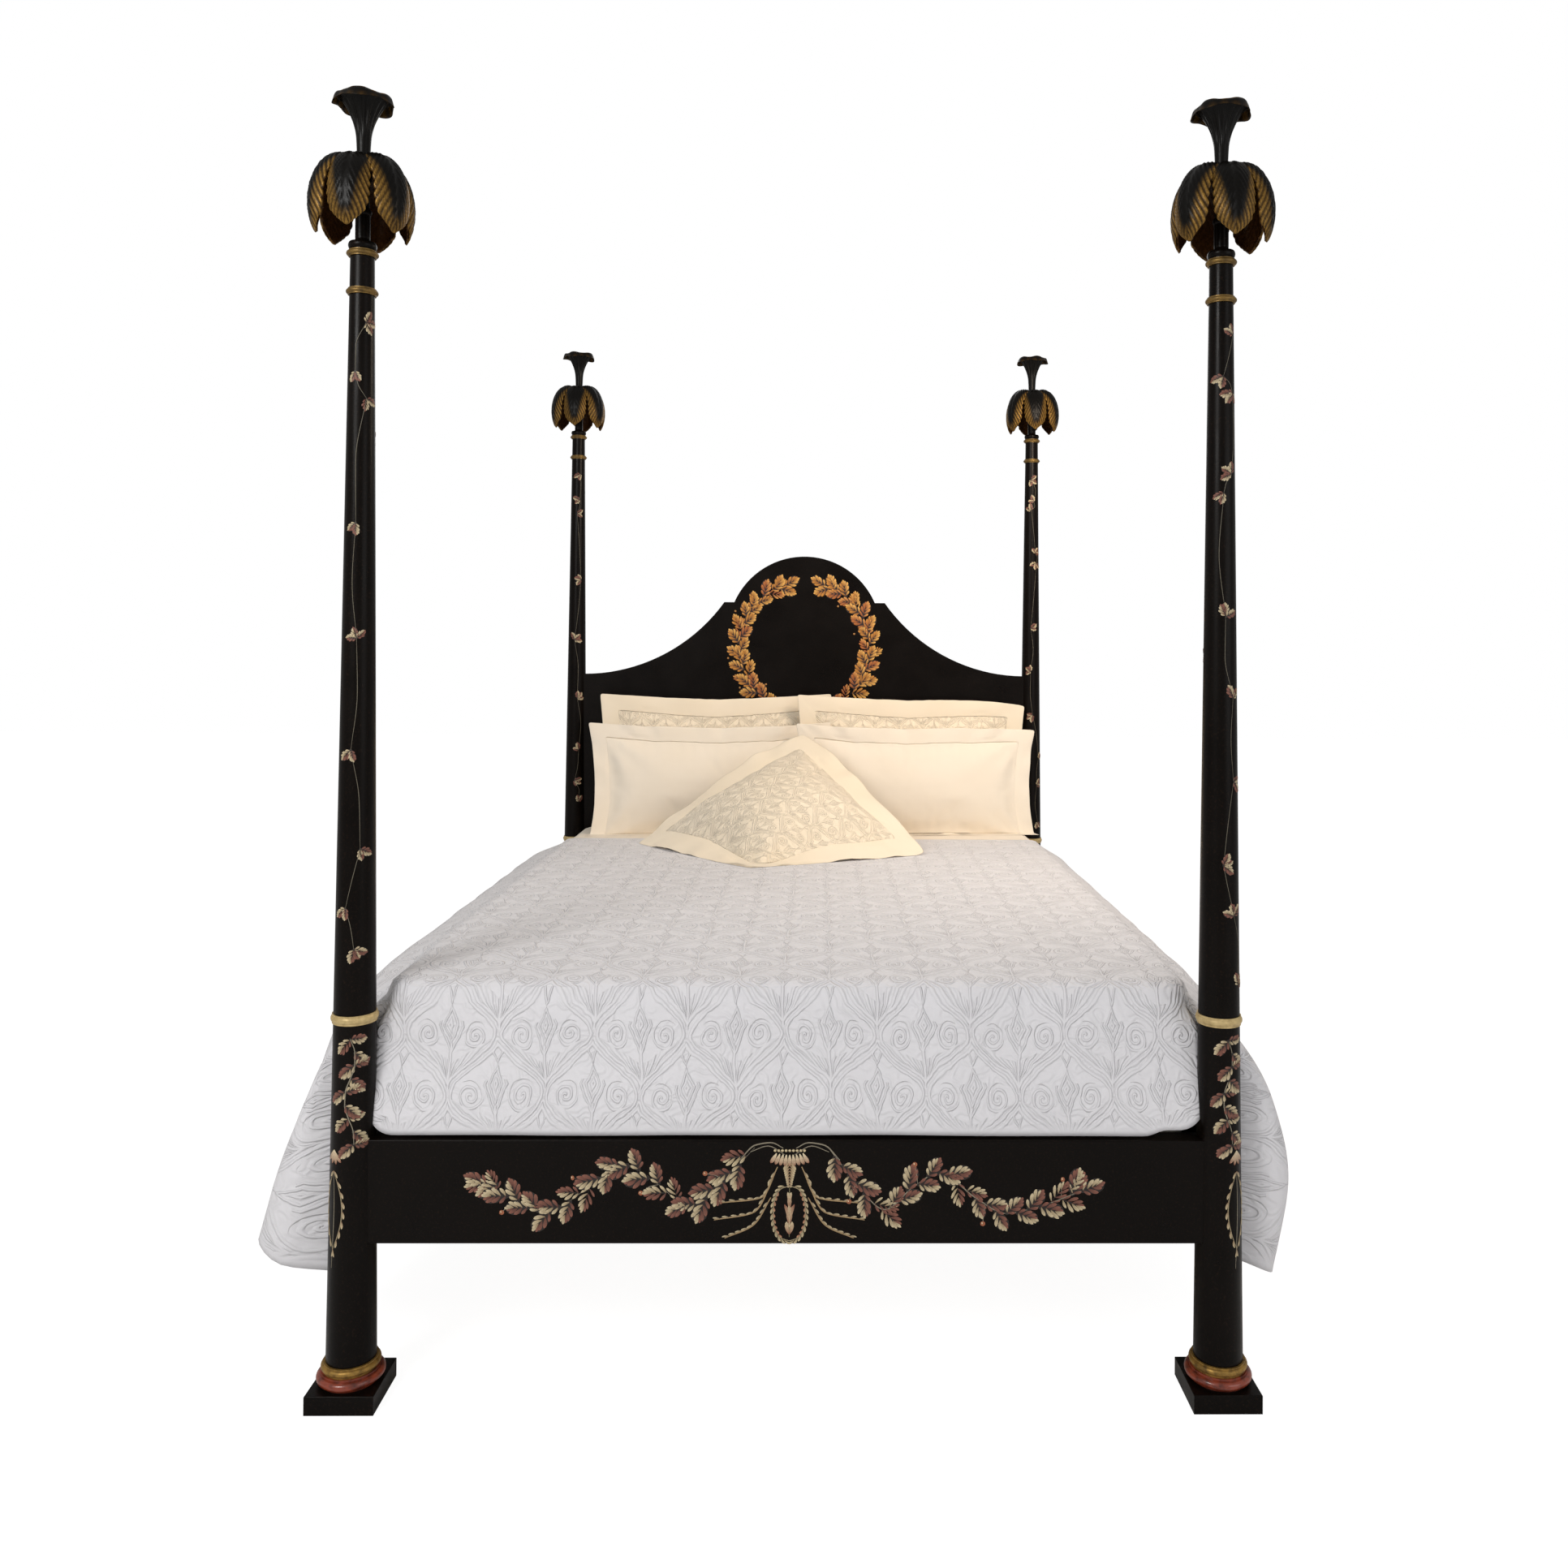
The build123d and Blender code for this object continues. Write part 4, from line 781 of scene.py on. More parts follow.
def makePad(name, node, corner, radius, tape, finish, quilting):
    # top and bottom: rounded plan grids, crowned a little; sides: waved rows between; taped seams round both
    low, high = (np.array(c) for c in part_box(node))
    spacing = 24 * mm
    plan = {"half": high[0], "ends": high[1], "corner": corner}
    x, y, fromEdge = roundedPlan(plan, spacing)
    fall = turnDown(fromEdge, radius)
    dimple = quilting * (0.5 + 0.5 * np.cos(2 * math.pi * x / 0.19) * np.cos(2 * math.pi * y / 0.19))
    dimple = dimple * ease(fromEdge / 0.08)
    index = numbered(x)
    top = np.stack([x, y, high[2] - fall - dimple], axis=-1).reshape(-1, 3)
    bottom = np.stack([x, y, low[2] + fall], axis=-1).reshape(-1, 3)
    rim = rimLoop(index)
    a, b = top[rim], bottom[rim]
    t = np.linspace(0, 1, 9)[1:-1, None]
    out = outwards(a[:, :2], high[:2] - corner)
    pull = -1.8 * mm * (1 - np.abs(np.cos(math.pi * 2 * t))) + 0 * a[None, :, 0]
    sideXY = a[None, :, :2] + out[None] * pull[..., None]
    sideZ = a[None, :, 2] * (1 - t) + b[None, :, 2] * t
    side = np.concatenate([sideXY, sideZ[..., None]], axis=-1)
    count = len(top)
    ring = np.concatenate([rim[None], numbered(side, 2 * count), count + rim[None]])
    points = [top, bottom, side.reshape(-1, 3)]
    faces = [gridFaces(index), gridFaces(index)[:, ::-1] + count, gridFaces(ring, closed=True)[:, ::-1]]
    total = 2 * count + side.shape[0] * side.shape[1]
    for loop, height in ((a, high[2] - radius * 0.55), (b, low[2] + radius * 0.55)):
        turn = np.linspace(0, 2 * math.pi, 9)[:-1]
        inset = radius * 0.12 + tape * 0.4
        centre = loop[:, :2] - out * inset
        around = centre[:, None, :] + out[:, None, :] * (tape * np.cos(turn))[None, :, None]
        tube = np.concatenate([around, (height + tape * np.sin(turn))[None, :, None] + 0 * around[..., :1]],
                              axis=-1)
        ids = numbered(tube, total)
        ids = np.concatenate([ids, ids[:1]])
        faces.append(gridFaces(ids, closed=True))
        points.append(tube.reshape(-1, 3))
        total += tube.shape[0] * tube.shape[1]
    piece = makeMesh(name, np.concatenate(points), np.concatenate(faces), finish)
    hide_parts(node)
    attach(piece, "bed")
    return piece


sheetPiece = makeSheet(sheetSettings)
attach(sheetPiece, "bed")
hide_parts("flat_sheet")
makePad("mattress_pad", "mattress", 60 * mm, 30 * mm, 5 * mm, ticking, 3 * mm)
makePad("box_spring_pad", "box_spring", 60 * mm, 12 * mm, 5 * mm, ticking, 0)
print("sheet and mattress made")


# ---- pillows and cushion ----

pillowShapes = {
    # width and height with the flange; thickness of the body; pinch is how far the sides draw in
    "back": {"width": 0.812, "height": 0.537, "thickness": 0.100, "flange": 0.052, "pinch": 0.014,
             "ears": (0.03, 0.012), "gather": 3 * mm, "finish": ivoryMatelasse, "slot": "ivory_matelasse",
             "pressure": 5.0, "seed": 21},
    "front": {"width": 0.830, "height": 0.440, "thickness": 0.100, "flange": 0.045, "pinch": 0.015,
              "ears": (0.055, 0.03), "gather": 4 * mm, "finish": ivoryCotton, "slot": "ivory_cotton",
              "pressure": 5.0, "seed": 22},
    "cushion": {"width": 0.593, "height": 0.593, "thickness": 0.170, "flange": 0.058, "pinch": 0.020,
                "ears": (-0.075, -0.075), "gather": 5 * mm, "finish": ivoryMatelasse,
                "slot": "ivory_matelasse", "pressure": 6.0, "seed": 23},
}
pillowPlaces = {
    "yaw": 4.8, "overlap": 0.135, "pairCentre": 0.038, "lean": {"back": 3.0, "front": 6.0}, "sink": 0.008,
    "cornerDroop": {"back": 0.040, "front": 0.024},
}
cushionPlace = {"turn": -12.0, "slope": 27.0, "cornerAngle": 78.4, "centreX": -0.070, "rise": 0.124,
                "droop": 0.62, "curl": 0.30}


def sewnBlank(width, height, spacing):
    # two flat sheets joined round their edge, a little apart in the middle
    columns, rows = round(width / spacing), round(height / spacing)
    x, y = np.meshgrid(np.linspace(-width / 2, width / 2, columns + 1),
                       np.linspace(-height / 2, height / 2, rows + 1))
    edge = np.minimum(width / 2 - np.abs(x), height / 2 - np.abs(y))
    crown = 0.010 * np.sqrt(np.clip(edge / 0.06, 0, 1))
    front = numbered(x)
    back = front.copy()
    inner = (rows - 1) * (columns - 1)
    back[1:-1, 1:-1] = x.size + np.arange(inner).reshape(rows - 1, columns - 1)
    points = np.concatenate([np.stack([x, y, crown], axis=-1).reshape(-1, 3),
                             np.stack([x, y, -crown], axis=-1)[1:-1, 1:-1].reshape(-1, 3)])
    return points, front, back


def inflate(settings):
    # Cloth blown up from the flat blank, then scaled to the real thickness and drawn-in sides.
    width, height = settings["width"] - 2 * settings["flange"], settings["height"] - 2 * settings["flange"]
    spacing = 11 * mm
    points, front, back = sewnBlank(width, height, spacing)
    faces = np.concatenate([gridFaces(front), gridFaces(back)[:, ::-1]])
    blank = makeMesh("blank",
                     points + 0.0004 * np.random.default_rng(settings["seed"]).standard_normal(points.shape),
                     faces, ivoryCotton)
    cloth = blank.modifiers.new("cloth", "CLOTH")
    cloth.settings.quality = 5
    cloth.settings.mass = 0.2
    cloth.settings.tension_stiffness = cloth.settings.compression_stiffness = 25
    cloth.settings.shear_stiffness = 8
    cloth.settings.bending_stiffness = 0.25
    cloth.settings.use_pressure = True
    cloth.settings.uniform_pressure_force = settings["pressure"]
    cloth.settings.effector_weights.gravity = 0
    cloth.collision_settings.use_collision = False
    frames = 22
    cloth.point_cache.frame_end = frames
    for n in range(1, frames + 1):
        scene.frame_set(n)
    shaped = blank.evaluated_get(bpy.context.evaluated_depsgraph_get()).to_mesh()
    blown = np.zeros(len(points) * 3, np.float32)
    shaped.vertices.foreach_get("co", blown)
    blown = blown.reshape(-1, 3).astype(float)
    bpy.data.objects.remove(blank)
    scene.frame_set(1)
    thick = blown[:, 2].max() - blown[:, 2].min()
    middle = height / 2 - np.abs(blown[front[-1, front.shape[1] // 2], 1])
    inPlane = np.clip(settings["pinch"] / max(middle, 1e-4), 0.2, 1.0)
    shape = points + (blown - points) * [inPlane, inPlane, 1]
    fromSeam = np.minimum(width / 2 - np.abs(points[:, 0]), height / 2 - np.abs(points[:, 1]))
    shape[:, 2] = blown[:, 2] * settings["thickness"] / thick * (0.25 + 0.75 * ease(0.15 + fromSeam / 0.075))
    return shape, front, back


def addFlange(shape, front, back, settings, ruffle):
    # The flange goes on outwards from the seam: two layers 2 mm apart, joined at the hem, with soft ruffles.
    width, height, flange = settings["width"], settings["height"], settings["flange"]
    rim = rimLoop(front)
    seam = shape[rim]
    inner = np.array([width / 2 - flange, height / 2 - flange])
    columns, rows = front.shape[1] - 1, front.shape[0] - 1
    flatX = np.linspace(-inner[0], inner[0], columns + 1)
    flatY = np.linspace(-inner[1], inner[1], rows + 1)
    gx, gy = np.meshgrid(flatX, flatY)
    flat = np.stack([gx, gy], axis=-1).reshape(-1, 2)[rim]
    outer = flat * (inner + flange) / inner
    pulled = seam[:, :2] - flat  # the hem draws in as the seam does, but less
    steps = np.linspace(0, 1, 7)
    way = wayAlong(flat)
    lines = []
    wave = ruffle * waves(way, 0 * way, settings["seed"], (0.17, 0.11, 0.29, 0.07), 0.8)
    for layer in (1, -1):
        for t in (steps if layer > 0 else steps[::-1]):
            plan = seam[:, :2] + (outer + 0.7 * pulled - seam[:, :2]) * t
            if t == 0:
                plan = plan - flat * (0.006 / np.abs(inner).max())
            thick = mm * (1.1 - 0.7 * (1 - t) ** 3) * layer if t < 1 else 0.45 * mm * layer
            lines.append(np.column_stack([plan, seam[:, 2] + wave * t**1.3 + thick]))
    ring = np.stack(lines)
    index = numbered(ring, len(shape))
    index = np.concatenate([index, index[:1]])
    points = np.concatenate([shape, ring.reshape(-1, 3)])
    faces = np.concatenate([gridFaces(front), gridFaces(back)[:, ::-1], gridFaces(index, closed=True)])
    quilt = np.concatenate([np.ones(len(shape)), np.zeros(ring.shape[0] * ring.shape[1])])
    uv = points[:, :2].copy()
    return drawIn(points, settings), faces, uv, quilt


def drawIn(points, settings):
    # The sides draw in between pointed corners; gathers run in from the seam, drag lines from the corners.
    half = np.array([settings["width"], settings["height"]]) / 2
    a, b = points[:, 0] / half[0], points[:, 1] / half[1]
    body = half - settings["flange"]
    fromSeam = (body - np.abs(points[:, :2])).min(axis=1)
    nearSide = body[0] - np.abs(points[:, 0]) < body[1] - np.abs(points[:, 1])
    way = np.where(nearSide, points[:, 1] + 3 * np.sign(points[:, 0]),
                   points[:, 0] + 5 * np.sign(points[:, 1]))
    gather = waves(way, 0 * way, settings["seed"] + 1, (0.060, 0.038, 0.090), 0.8)
    gather = settings["gather"] * gather * np.exp(-np.abs(fromSeam - 0.012) / 0.045)
    corner = body * np.sign(points[:, :2])
    toCorner = np.linalg.norm(points[:, :2] - corner, axis=1)
    angle = np.arctan2(points[:, 1] - corner[:, 1], points[:, 0] - corner[:, 0])
    drag = 0.9 * settings["gather"] * np.sin(9 * angle + 2 * a) * np.exp(-((toCorner - 0.10) / 0.07) ** 2)
    out = points.copy()
    out[:, 0] *= 1 - settings["ears"][0] * (1 - np.clip(b, -1, 1) ** 2)
    out[:, 1] *= 1 - settings["ears"][1] * (1 - np.clip(a, -1, 1) ** 2)
    swell = np.sign(points[:, 2]) * gather * np.clip(np.abs(points[:, 2]) / 0.004, 0, 1)
    out[:, 2] += swell + drag * (fromSeam > 0)
    return out


def dressPillow(node, kind, body, mirror, place, bend):
    # puts the sewn shape in its place, bends it there, and names what it stands for
    settings = pillowShapes[kind]
    points, faces, uv, quilt = sewnShapes[kind]
    local = points * [mirror, 1, 1]
    if mirror < 0:
        faces = faces[:, ::-1]
    centre, along, up, outwards = place
    world = centre + local[:, :1] * along + local[:, 1:2] * up + local[:, 2:] * outwards
    world = bend(world, local)
    piece = makeMesh(node + "_cloth", world, faces, settings["finish"], uv=uv * [mirror, 1], quilt=quilt)
    smooth = piece.modifiers.new("smooth", "SUBSURF")
    smooth.levels = smooth.render_levels = 1
    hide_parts(node)
    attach(piece, body)
    return piece


def pillowPlane(kind, side):
    # the same plane as the CAD pillow's: turned by the yaw, leaning back, standing sunk in the bed
    settings = pillowShapes[kind]
    yaw, lean = math.radians(pillowPlaces["yaw"]), math.radians(pillowPlaces["lean"][kind])
    along = np.array([math.cos(yaw), math.sin(yaw), 0])
    up = np.array([-math.sin(yaw) * math.sin(lean), math.cos(yaw) * math.sin(lean), math.cos(lean)])
    name = f"pillow_{kind}_{'left' if side < 0 else 'right'}"
    low, high = (np.array(c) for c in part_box(name))
    x = pillowPlaces["pairCentre"] + side * (settings["width"] - pillowPlaces["overlap"]) / 2
    sunk = settings["flange"] + settings["pinch"] + pillowPlaces["sink"]
    centre = np.array([x, (low[1] + high[1]) / 2, low[2] + (settings["height"] / 2 - sunk) * math.cos(lean)])
    return name, low[2], (centre, along, up, np.cross(along, up))


def restOn(rest, forward, droop, half):
    # Below the rest plane the pillow is flat on the bed, and what hangs lower of its flange folds forwards.
    # The upper corner on the right hangs down by droop.
    def bend(world, local):
        share = np.clip(local[:, :2] / half, [0, -1], 1)
        world = world - [0, 0, 1] * (droop * share[:, :1] ** 2.4 * (0.5 + 0.5 * share[:, 1:]) ** 1.5)
        under = np.clip(rest - world[:, 2], 0, None)
        world = world.copy()
        world[:, 1] -= forward * np.clip(under - 0.02, 0, None)
        world[:, 2] = np.maximum(world[:, 2], rest + 0.6 * mm * (local[:, 2] > 0))
        return world
    return bend


sewnShapes = {}
for kind, settings in pillowShapes.items():
    shape, front, back = inflate(settings)
    sewnShapes[kind] = addFlange(shape, front, back, settings,
                                 {"back": 6, "front": 11, "cushion": 14}[kind] * mm)
    print(kind, "sewn and filled")
for kind, forward in (("back", 0.0), ("front", 0.75)):
    for side in (-1, 1):
        name, rest, place = pillowPlane(kind, side)
        droop = pillowPlaces["cornerDroop"][kind] if side > 0 else 0
        half = np.array([pillowShapes[kind]["width"], pillowShapes[kind]["height"]]) / 2
        dressPillow(name, kind, name + "_body", side, place, restOn(rest, forward, droop, half))


def cushionPlane(settings):
    # lying cornerwise: its sides run either side of the line from its bottom corner to its top one
    turn, slope = math.radians(settings["turn"]), math.radians(settings["slope"])
    across = np.array([math.cos(turn), math.sin(turn), 0])
    rising = np.array([-math.sin(turn) * math.cos(slope), math.cos(turn) * math.cos(slope), math.sin(slope)])
    normal = np.cross(across, rising)
    low, high = (np.array(c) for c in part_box("cushion"))
    lean = math.radians((90 - settings["cornerAngle"]) / 2)
    xDir, yDir = (across - rising) / math.sqrt(2), (across + rising) / math.sqrt(2)
    along = math.cos(lean) * xDir + math.sin(lean) * yDir
    up = math.sin(lean) * xDir + math.cos(lean) * yDir
    centre = np.array([settings["centreX"], (low[1] + high[1]) / 2, low[2] + settings["rise"]])
    return low[2], across, (centre, along, up, normal)


cushionRest, cushionAcross, cushionFrame = cushionPlane(cushionPlace)


def droopCorners(world, local):
    # The side corners droop to the bed by the square of their distance across, and the top corner curls up
    # where it leans on the pillows.
    offset = (world - cushionFrame[0]) @ cushionAcross
    upper = np.clip((world - cushionFrame[0]) @ np.cross(cushionFrame[3], cushionAcross), 0, None)
    world = world.copy()
    world[:, 2] += cushionPlace["curl"] * upper**2 - cushionPlace["droop"] * offset**2
    world[:, 2] = np.maximum(world[:, 2], cushionRest + 0.6 * mm * (local[:, 2] > 0))
    return world


dressPillow("cushion", "cushion", "cushion_body", 1, cushionFrame, droopCorners)
print("pillows and cushion placed")


# ---- finials: carved leaves and flower ----

def carvedFinish():
    # carved wood, lacquered black and brushed with gold; gold and shade are in the vertex colours, with a
    # painted highlight on the leaves' rib crests
    finish, tree, shader = newFinish("lacquered and gilded carving")
    coords = addNode(tree, "ShaderNodeTexCoord").outputs["Object"]
    paint = addNode(tree, "ShaderNodeAttribute", {"attribute_name": "paint"})
    gold = addNode(tree, "ShaderNodeAttribute", {"attribute_name": "gold"})
    rub = addNode(tree, "ShaderNodeTexNoise", {"Scale": 190.0, "Detail": 4.0}, {"Vector": coords})
    darker = addNode(tree, "ShaderNodeMapRange", {"From Min": 0.35, "From Max": 0.65, "To Min": 0.6,
                                                  "To Max": 1.15},
                     {"Value": rub.outputs["Fac"]})
    colour = addNode(tree, "ShaderNodeMix", {"data_type": "RGBA", "blend_type": "MULTIPLY", 0: 1.0},
                     {6: paint.outputs["Color"], 7: darker.outputs[0]})
    metal = addNode(tree, "ShaderNodeMath", {"operation": "MULTIPLY", 1: 0.4}, {0: gold.outputs["Fac"]})
    rough = addNode(tree, "ShaderNodeMapRange", {"To Min": 0.3, "To Max": 0.45},
                    {"Value": rub.outputs["Fac"]})
    bump = addNode(tree, "ShaderNodeBump", {"Strength": 0.4, "Distance": 0.5 * mm},
                   {"Height": rub.outputs["Fac"]})
    shader.inputs["Specular IOR Level"].default_value = 0.15
    wire(tree, shader, {"Base Color": colour.outputs[2],
                        "Metallic": metal.outputs[0],
                        "Roughness": rough.outputs[0],
                        "Normal": bump.outputs[0]})
    return finish


def mixColours(first, second, share):
    # row by row between two colours
    share = np.clip(share, 0, 1)[..., None]
    return (1 - share) * np.asarray(first) + share * np.asarray(second)


def closedSheet(front, back):
    # two grids of the same size, back to back, joined round their edges; gives points and faces
    index = numbered(front)
    behind = index + index.size
    rim = np.stack([rimLoop(behind), rimLoop(index)])
    faces = np.concatenate([gridFaces(index), gridFaces(behind)[:, ::-1], gridFaces(rim, closed=True)])
    return np.concatenate([front.reshape(-1, 3), back.reshape(-1, 3)]), faces


palmLeaf = {
    "count": 6, "firstAngle": 30, "spineMiddle": (40 * mm, 2.192), "spineReach": (54 * mm, 89 * mm),
    "spineFrom": 122, "spineTo": -42, "halfWidth": 43 * mm, "thickness": 4.5 * mm,
    "ribs": 12, "ribSlant": 0.40, "ribHeight": 2.6 * mm, "black": "#070503", "gold": "#6b4c20",
    # painted highlight: a lighter gold laid on the crests of the leaves' ribs
    "paintedCrestHighlight": "#b48c42",
    "inside": "#46290f",
}


def makeLeaves(settings):
    # Each leaf is a grid along and across its spine, which is part of an ellipse seen from the side.
    # Slanting ribs run out from the middle groove, and the edge has a scallop at the end of each rib.
    along, across = np.linspace(0, 1, 76), np.linspace(-1, 1, 33)
    u, v = np.meshgrid(along, across, indexing="ij")
    halfWidth = smoothThrough(u, [0, 0.12, 0.3, 0.55, 0.78, 0.91, 0.97, 1],
                              [0.28, 0.6, 0.92, 1.04, 1.06, 0.90, 0.66, 0.30])
    ribPhase = settings["ribs"] * (u - settings["ribSlant"] * np.abs(v))
    rib = np.abs(np.sin(math.pi * ribPhase))
    width = settings["halfWidth"] * halfWidth * (0.93 + 0.07 * rib)
    phi = np.radians(settings["spineFrom"] + (settings["spineTo"] - settings["spineFrom"])
                     * (u - 0.07 * v**2 * u**3))
    r = settings["spineMiddle"][0] + settings["spineReach"][0] * np.cos(phi)
    z = settings["spineMiddle"][1] + settings["spineReach"][1] * np.sin(phi)
    groove = -2.2 * mm * np.exp(-(v / 0.09) ** 2) + 1.2 * mm * np.exp(-(v / 0.03) ** 2)
    relief = settings["ribHeight"] * (rib - 0.5) * ease(np.abs(v) / 0.2) * halfWidth + groove * halfWidth
    curl = -9 * mm * v**2 * halfWidth
    outR, outZ = np.cos(phi), np.sin(phi)
    points, faces, colours, golds, count = [], [], [], [], 0
    gold = ease((np.abs(v) + 1.3 * (u - 0.62) - 0.45) / 0.40) * (0.12 + 0.88 * rib**1.5)
    gold = np.maximum(gold, ease((u - 0.84) / 0.14) * (0.2 + 0.8 * rib**1.5))
    shade = mixColours(linear(settings["black"]), linear(settings["gold"]), gold)
    # painted highlight: the gold is lightened on the rib crests, most where the rib stands highest
    paintedCrestHighlight = np.clip(gold * rib**3, 0, 1)[..., None] * 0.55
    shade = (1 - paintedCrestHighlight) * shade + paintedCrestHighlight * np.asarray(linear(settings["paintedCrestHighlight"]))
    inside = mixColours(linear("#120a06"), linear(settings["inside"]), 0.3 + 0.7 * u)
    for n in range(settings["count"]):
        lift = (1.8 * mm if n % 2 else -1.8 * mm) + relief + curl
        grids = []
        for depth in (0, settings["thickness"]):
            radius = r + (lift - depth) * outR
            middle = math.radians(settings["firstAngle"] + 360 / settings["count"] * n)
            angle = middle + width * v / np.maximum(r, 46 * mm)
            grids.append(np.stack([radius * np.cos(angle), radius * np.sin(angle),
                                   z + (lift - depth) * outZ], axis=-1))
        got, made = closedSheet(*grids)
        points.append(got)
        faces.append(made + count)
        colours.append(np.concatenate([shade.reshape(-1, 4), inside.reshape(-1, 4)]))
        golds.append(np.concatenate([gold.ravel(), 0 * gold.ravel()]))
        count += len(got)
    return np.concatenate(points), np.concatenate(faces), np.concatenate(colours), np.concatenate(golds)


trumpetFlower = {
    "heights": [2.266, 2.280, 2.322, 2.345, 2.362, 2.378, 2.391, 2.396, 2.388],
    "radii": [11.3 * mm, 11.7 * mm, 13.6 * mm, 17.5 * mm, 23.5 * mm, 32 * mm, 42 * mm, 49.5 * mm, 54 * mm],
    "lobes": 5, "lobeRise": 4.5 * mm, "lobeReach": 0.05, "lobeDroop": 7 * mm, "flutes": 15, "wall": 3.5 * mm,
    "throat": 2.335,
    "black": "#070503", "gold": "#745424",
}


def makeFlower(settings):
    # A profile turned round the stem's axis. Towards the rim, five waves lift it and push it out, and its
    # edge rolls over; fine flutes run up the outside.
    s = np.linspace(0, 1, 44)
    turn = np.linspace(0, 2 * math.pi, 121)[:-1]
    places = np.linspace(0, 1, len(settings["heights"]))
    r, z = smoothThrough(s, places, settings["radii"]), smoothThrough(s, places, settings["heights"])
    grow = ease((s - 0.62) / 0.38)[:, None]
    wave = np.cos(settings["lobes"] * turn + 0.9 + 0.35 * np.sin(2 * turn))[None, :]
    roll = ease((s - 0.80) / 0.20)[:, None]
    fluted = ease((s - 0.2) / 0.3) - 0.85 * ease((s - 0.65) / 0.3)
    flute = 1.5 * mm * np.cos(settings["flutes"] * turn)[None, :] * fluted[:, None]
    outerR = r[:, None] * (1 + settings["lobeReach"] * grow * wave) + flute
    outerZ = z[:, None] + settings["lobeRise"] * grow * wave - settings["lobeDroop"] * roll * (1 + wave)
    innerR = np.maximum(outerR - settings["wall"] * (1 - 0.6 * grow), 1 * mm)
    innerZ = outerZ + settings["wall"] * grow * 0.9
    keep = z > settings["throat"]
    ringR = np.concatenate([0 * outerR[:1], outerR, innerR[keep][::-1], 0 * outerR[:1]])
    ringZ = np.concatenate([outerZ[:1], outerZ, innerZ[keep][::-1], innerZ[keep][:1]])
    points = np.stack([ringR * np.cos(turn), ringR * np.sin(turn), ringZ], axis=-1)
    index = numbered(points)
    inner = (ease((s - 0.6) / 0.35) * 0.7)[keep][::-1]
    rimGold = np.concatenate([[0], ease((s - 0.9) / 0.1) * 0.25, inner, [0]])
    streak = 0.55 + 0.45 * np.cos(settings["flutes"] * turn + 0.6)
    gold = rimGold[:, None] * streak[None, :]
    colours = mixColours(linear(settings["black"]), linear(settings["gold"]), gold)
    return points.reshape(-1, 3), gridFaces(index, closed=True), colours.reshape(-1, 4), gold.ravel()


def closePoles(piece):
    # merges the points that meet at a pole and turns the faces outwards
    shell = bmesh.new()
    shell.from_mesh(piece.data)
    bmesh.ops.remove_doubles(shell, verts=shell.verts, dist=0.01 * mm)
    bmesh.ops.recalc_face_normals(shell, faces=shell.faces)
    shell.to_mesh(piece.data)
    shell.free()


carving = carvedFinish()
leafParts, flowerParts = makeLeaves(palmLeaf), makeFlower(trumpetFlower)
# which side of the bed each corner is on
corners = {"foot_left": -1, "foot_right": 1, "head_left": -1, "head_right": 1}
for corner in corners:
    low, high = (np.array(c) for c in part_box("finial_core_" + corner))
    axis = np.array([(low[0] + high[0]) / 2, (low[1] + high[1]) / 2, 0])
    turned = {"foot_left": 0.0, "foot_right": 0.35, "head_left": 0.9, "head_right": 1.4}[corner]
    spin = np.array([[math.cos(turned), math.sin(turned), 0], [-math.sin(turned), math.cos(turned), 0],
                     [0, 0, 1]])
    for part, (points, faces, colours, gold) in (("leaves", leafParts), ("flower", flowerParts)):
        placed = points @ spin + axis if part == "flower" else points + axis
        piece = makeMesh(f"carved_{part}_{corner}", placed, faces, carving, paint=colours, gold=gold)
        closePoles(piece)
        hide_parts(f"finial_{part}_{corner}")
        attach(piece, "finial_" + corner)
print("finials carved")


# ---- painted ornament ----

def paintFinish():
    # artist's enamel over lacquer, in single strokes that stand a little proud; each has its own colour
    finish, tree, shader = newFinish("brushed enamel")
    coords = addNode(tree, "ShaderNodeTexCoord").outputs["Object"]
    paint = addNode(tree, "ShaderNodeAttribute", {"attribute_name": "paint"})
    streaks = addNode(tree, "ShaderNodeTexNoise", {"Scale": 420.0, "Detail": 3.0}, {"Vector": coords})
    thin = addNode(tree, "ShaderNodeMapRange", {"From Min": 0.3, "From Max": 0.7, "To Min": 0.72,
                                                "To Max": 1.08},
                   {"Value": streaks.outputs["Fac"]})
    colour = addNode(tree, "ShaderNodeMix", {"data_type": "RGBA", "blend_type": "MULTIPLY", 0: 1.0},
                     {6: paint.outputs["Color"], 7: thin.outputs[0]})
    bump = addNode(tree, "ShaderNodeBump", {"Strength": 0.5, "Distance": 0.2 * mm},
                   {"Height": streaks.outputs["Fac"]})
    shader.inputs["Roughness"].default_value = 0.48
    wire(tree, shader, {"Base Color": colour.outputs[2], "Normal": bump.outputs[0]})
    return finish


strokeShares = np.array([0.0, 0.18, 0.42, 0.68, 0.88, 1.0])
# a comma: thin where the brush lifts in, full at its end
strokeWidths = np.array([0.22, 0.5, 0.86, 1.0, 0.74, 0.16])


def newPainting():
    return {"points": [], "faces": [], "colours": [], "count": 0, "order": 0}


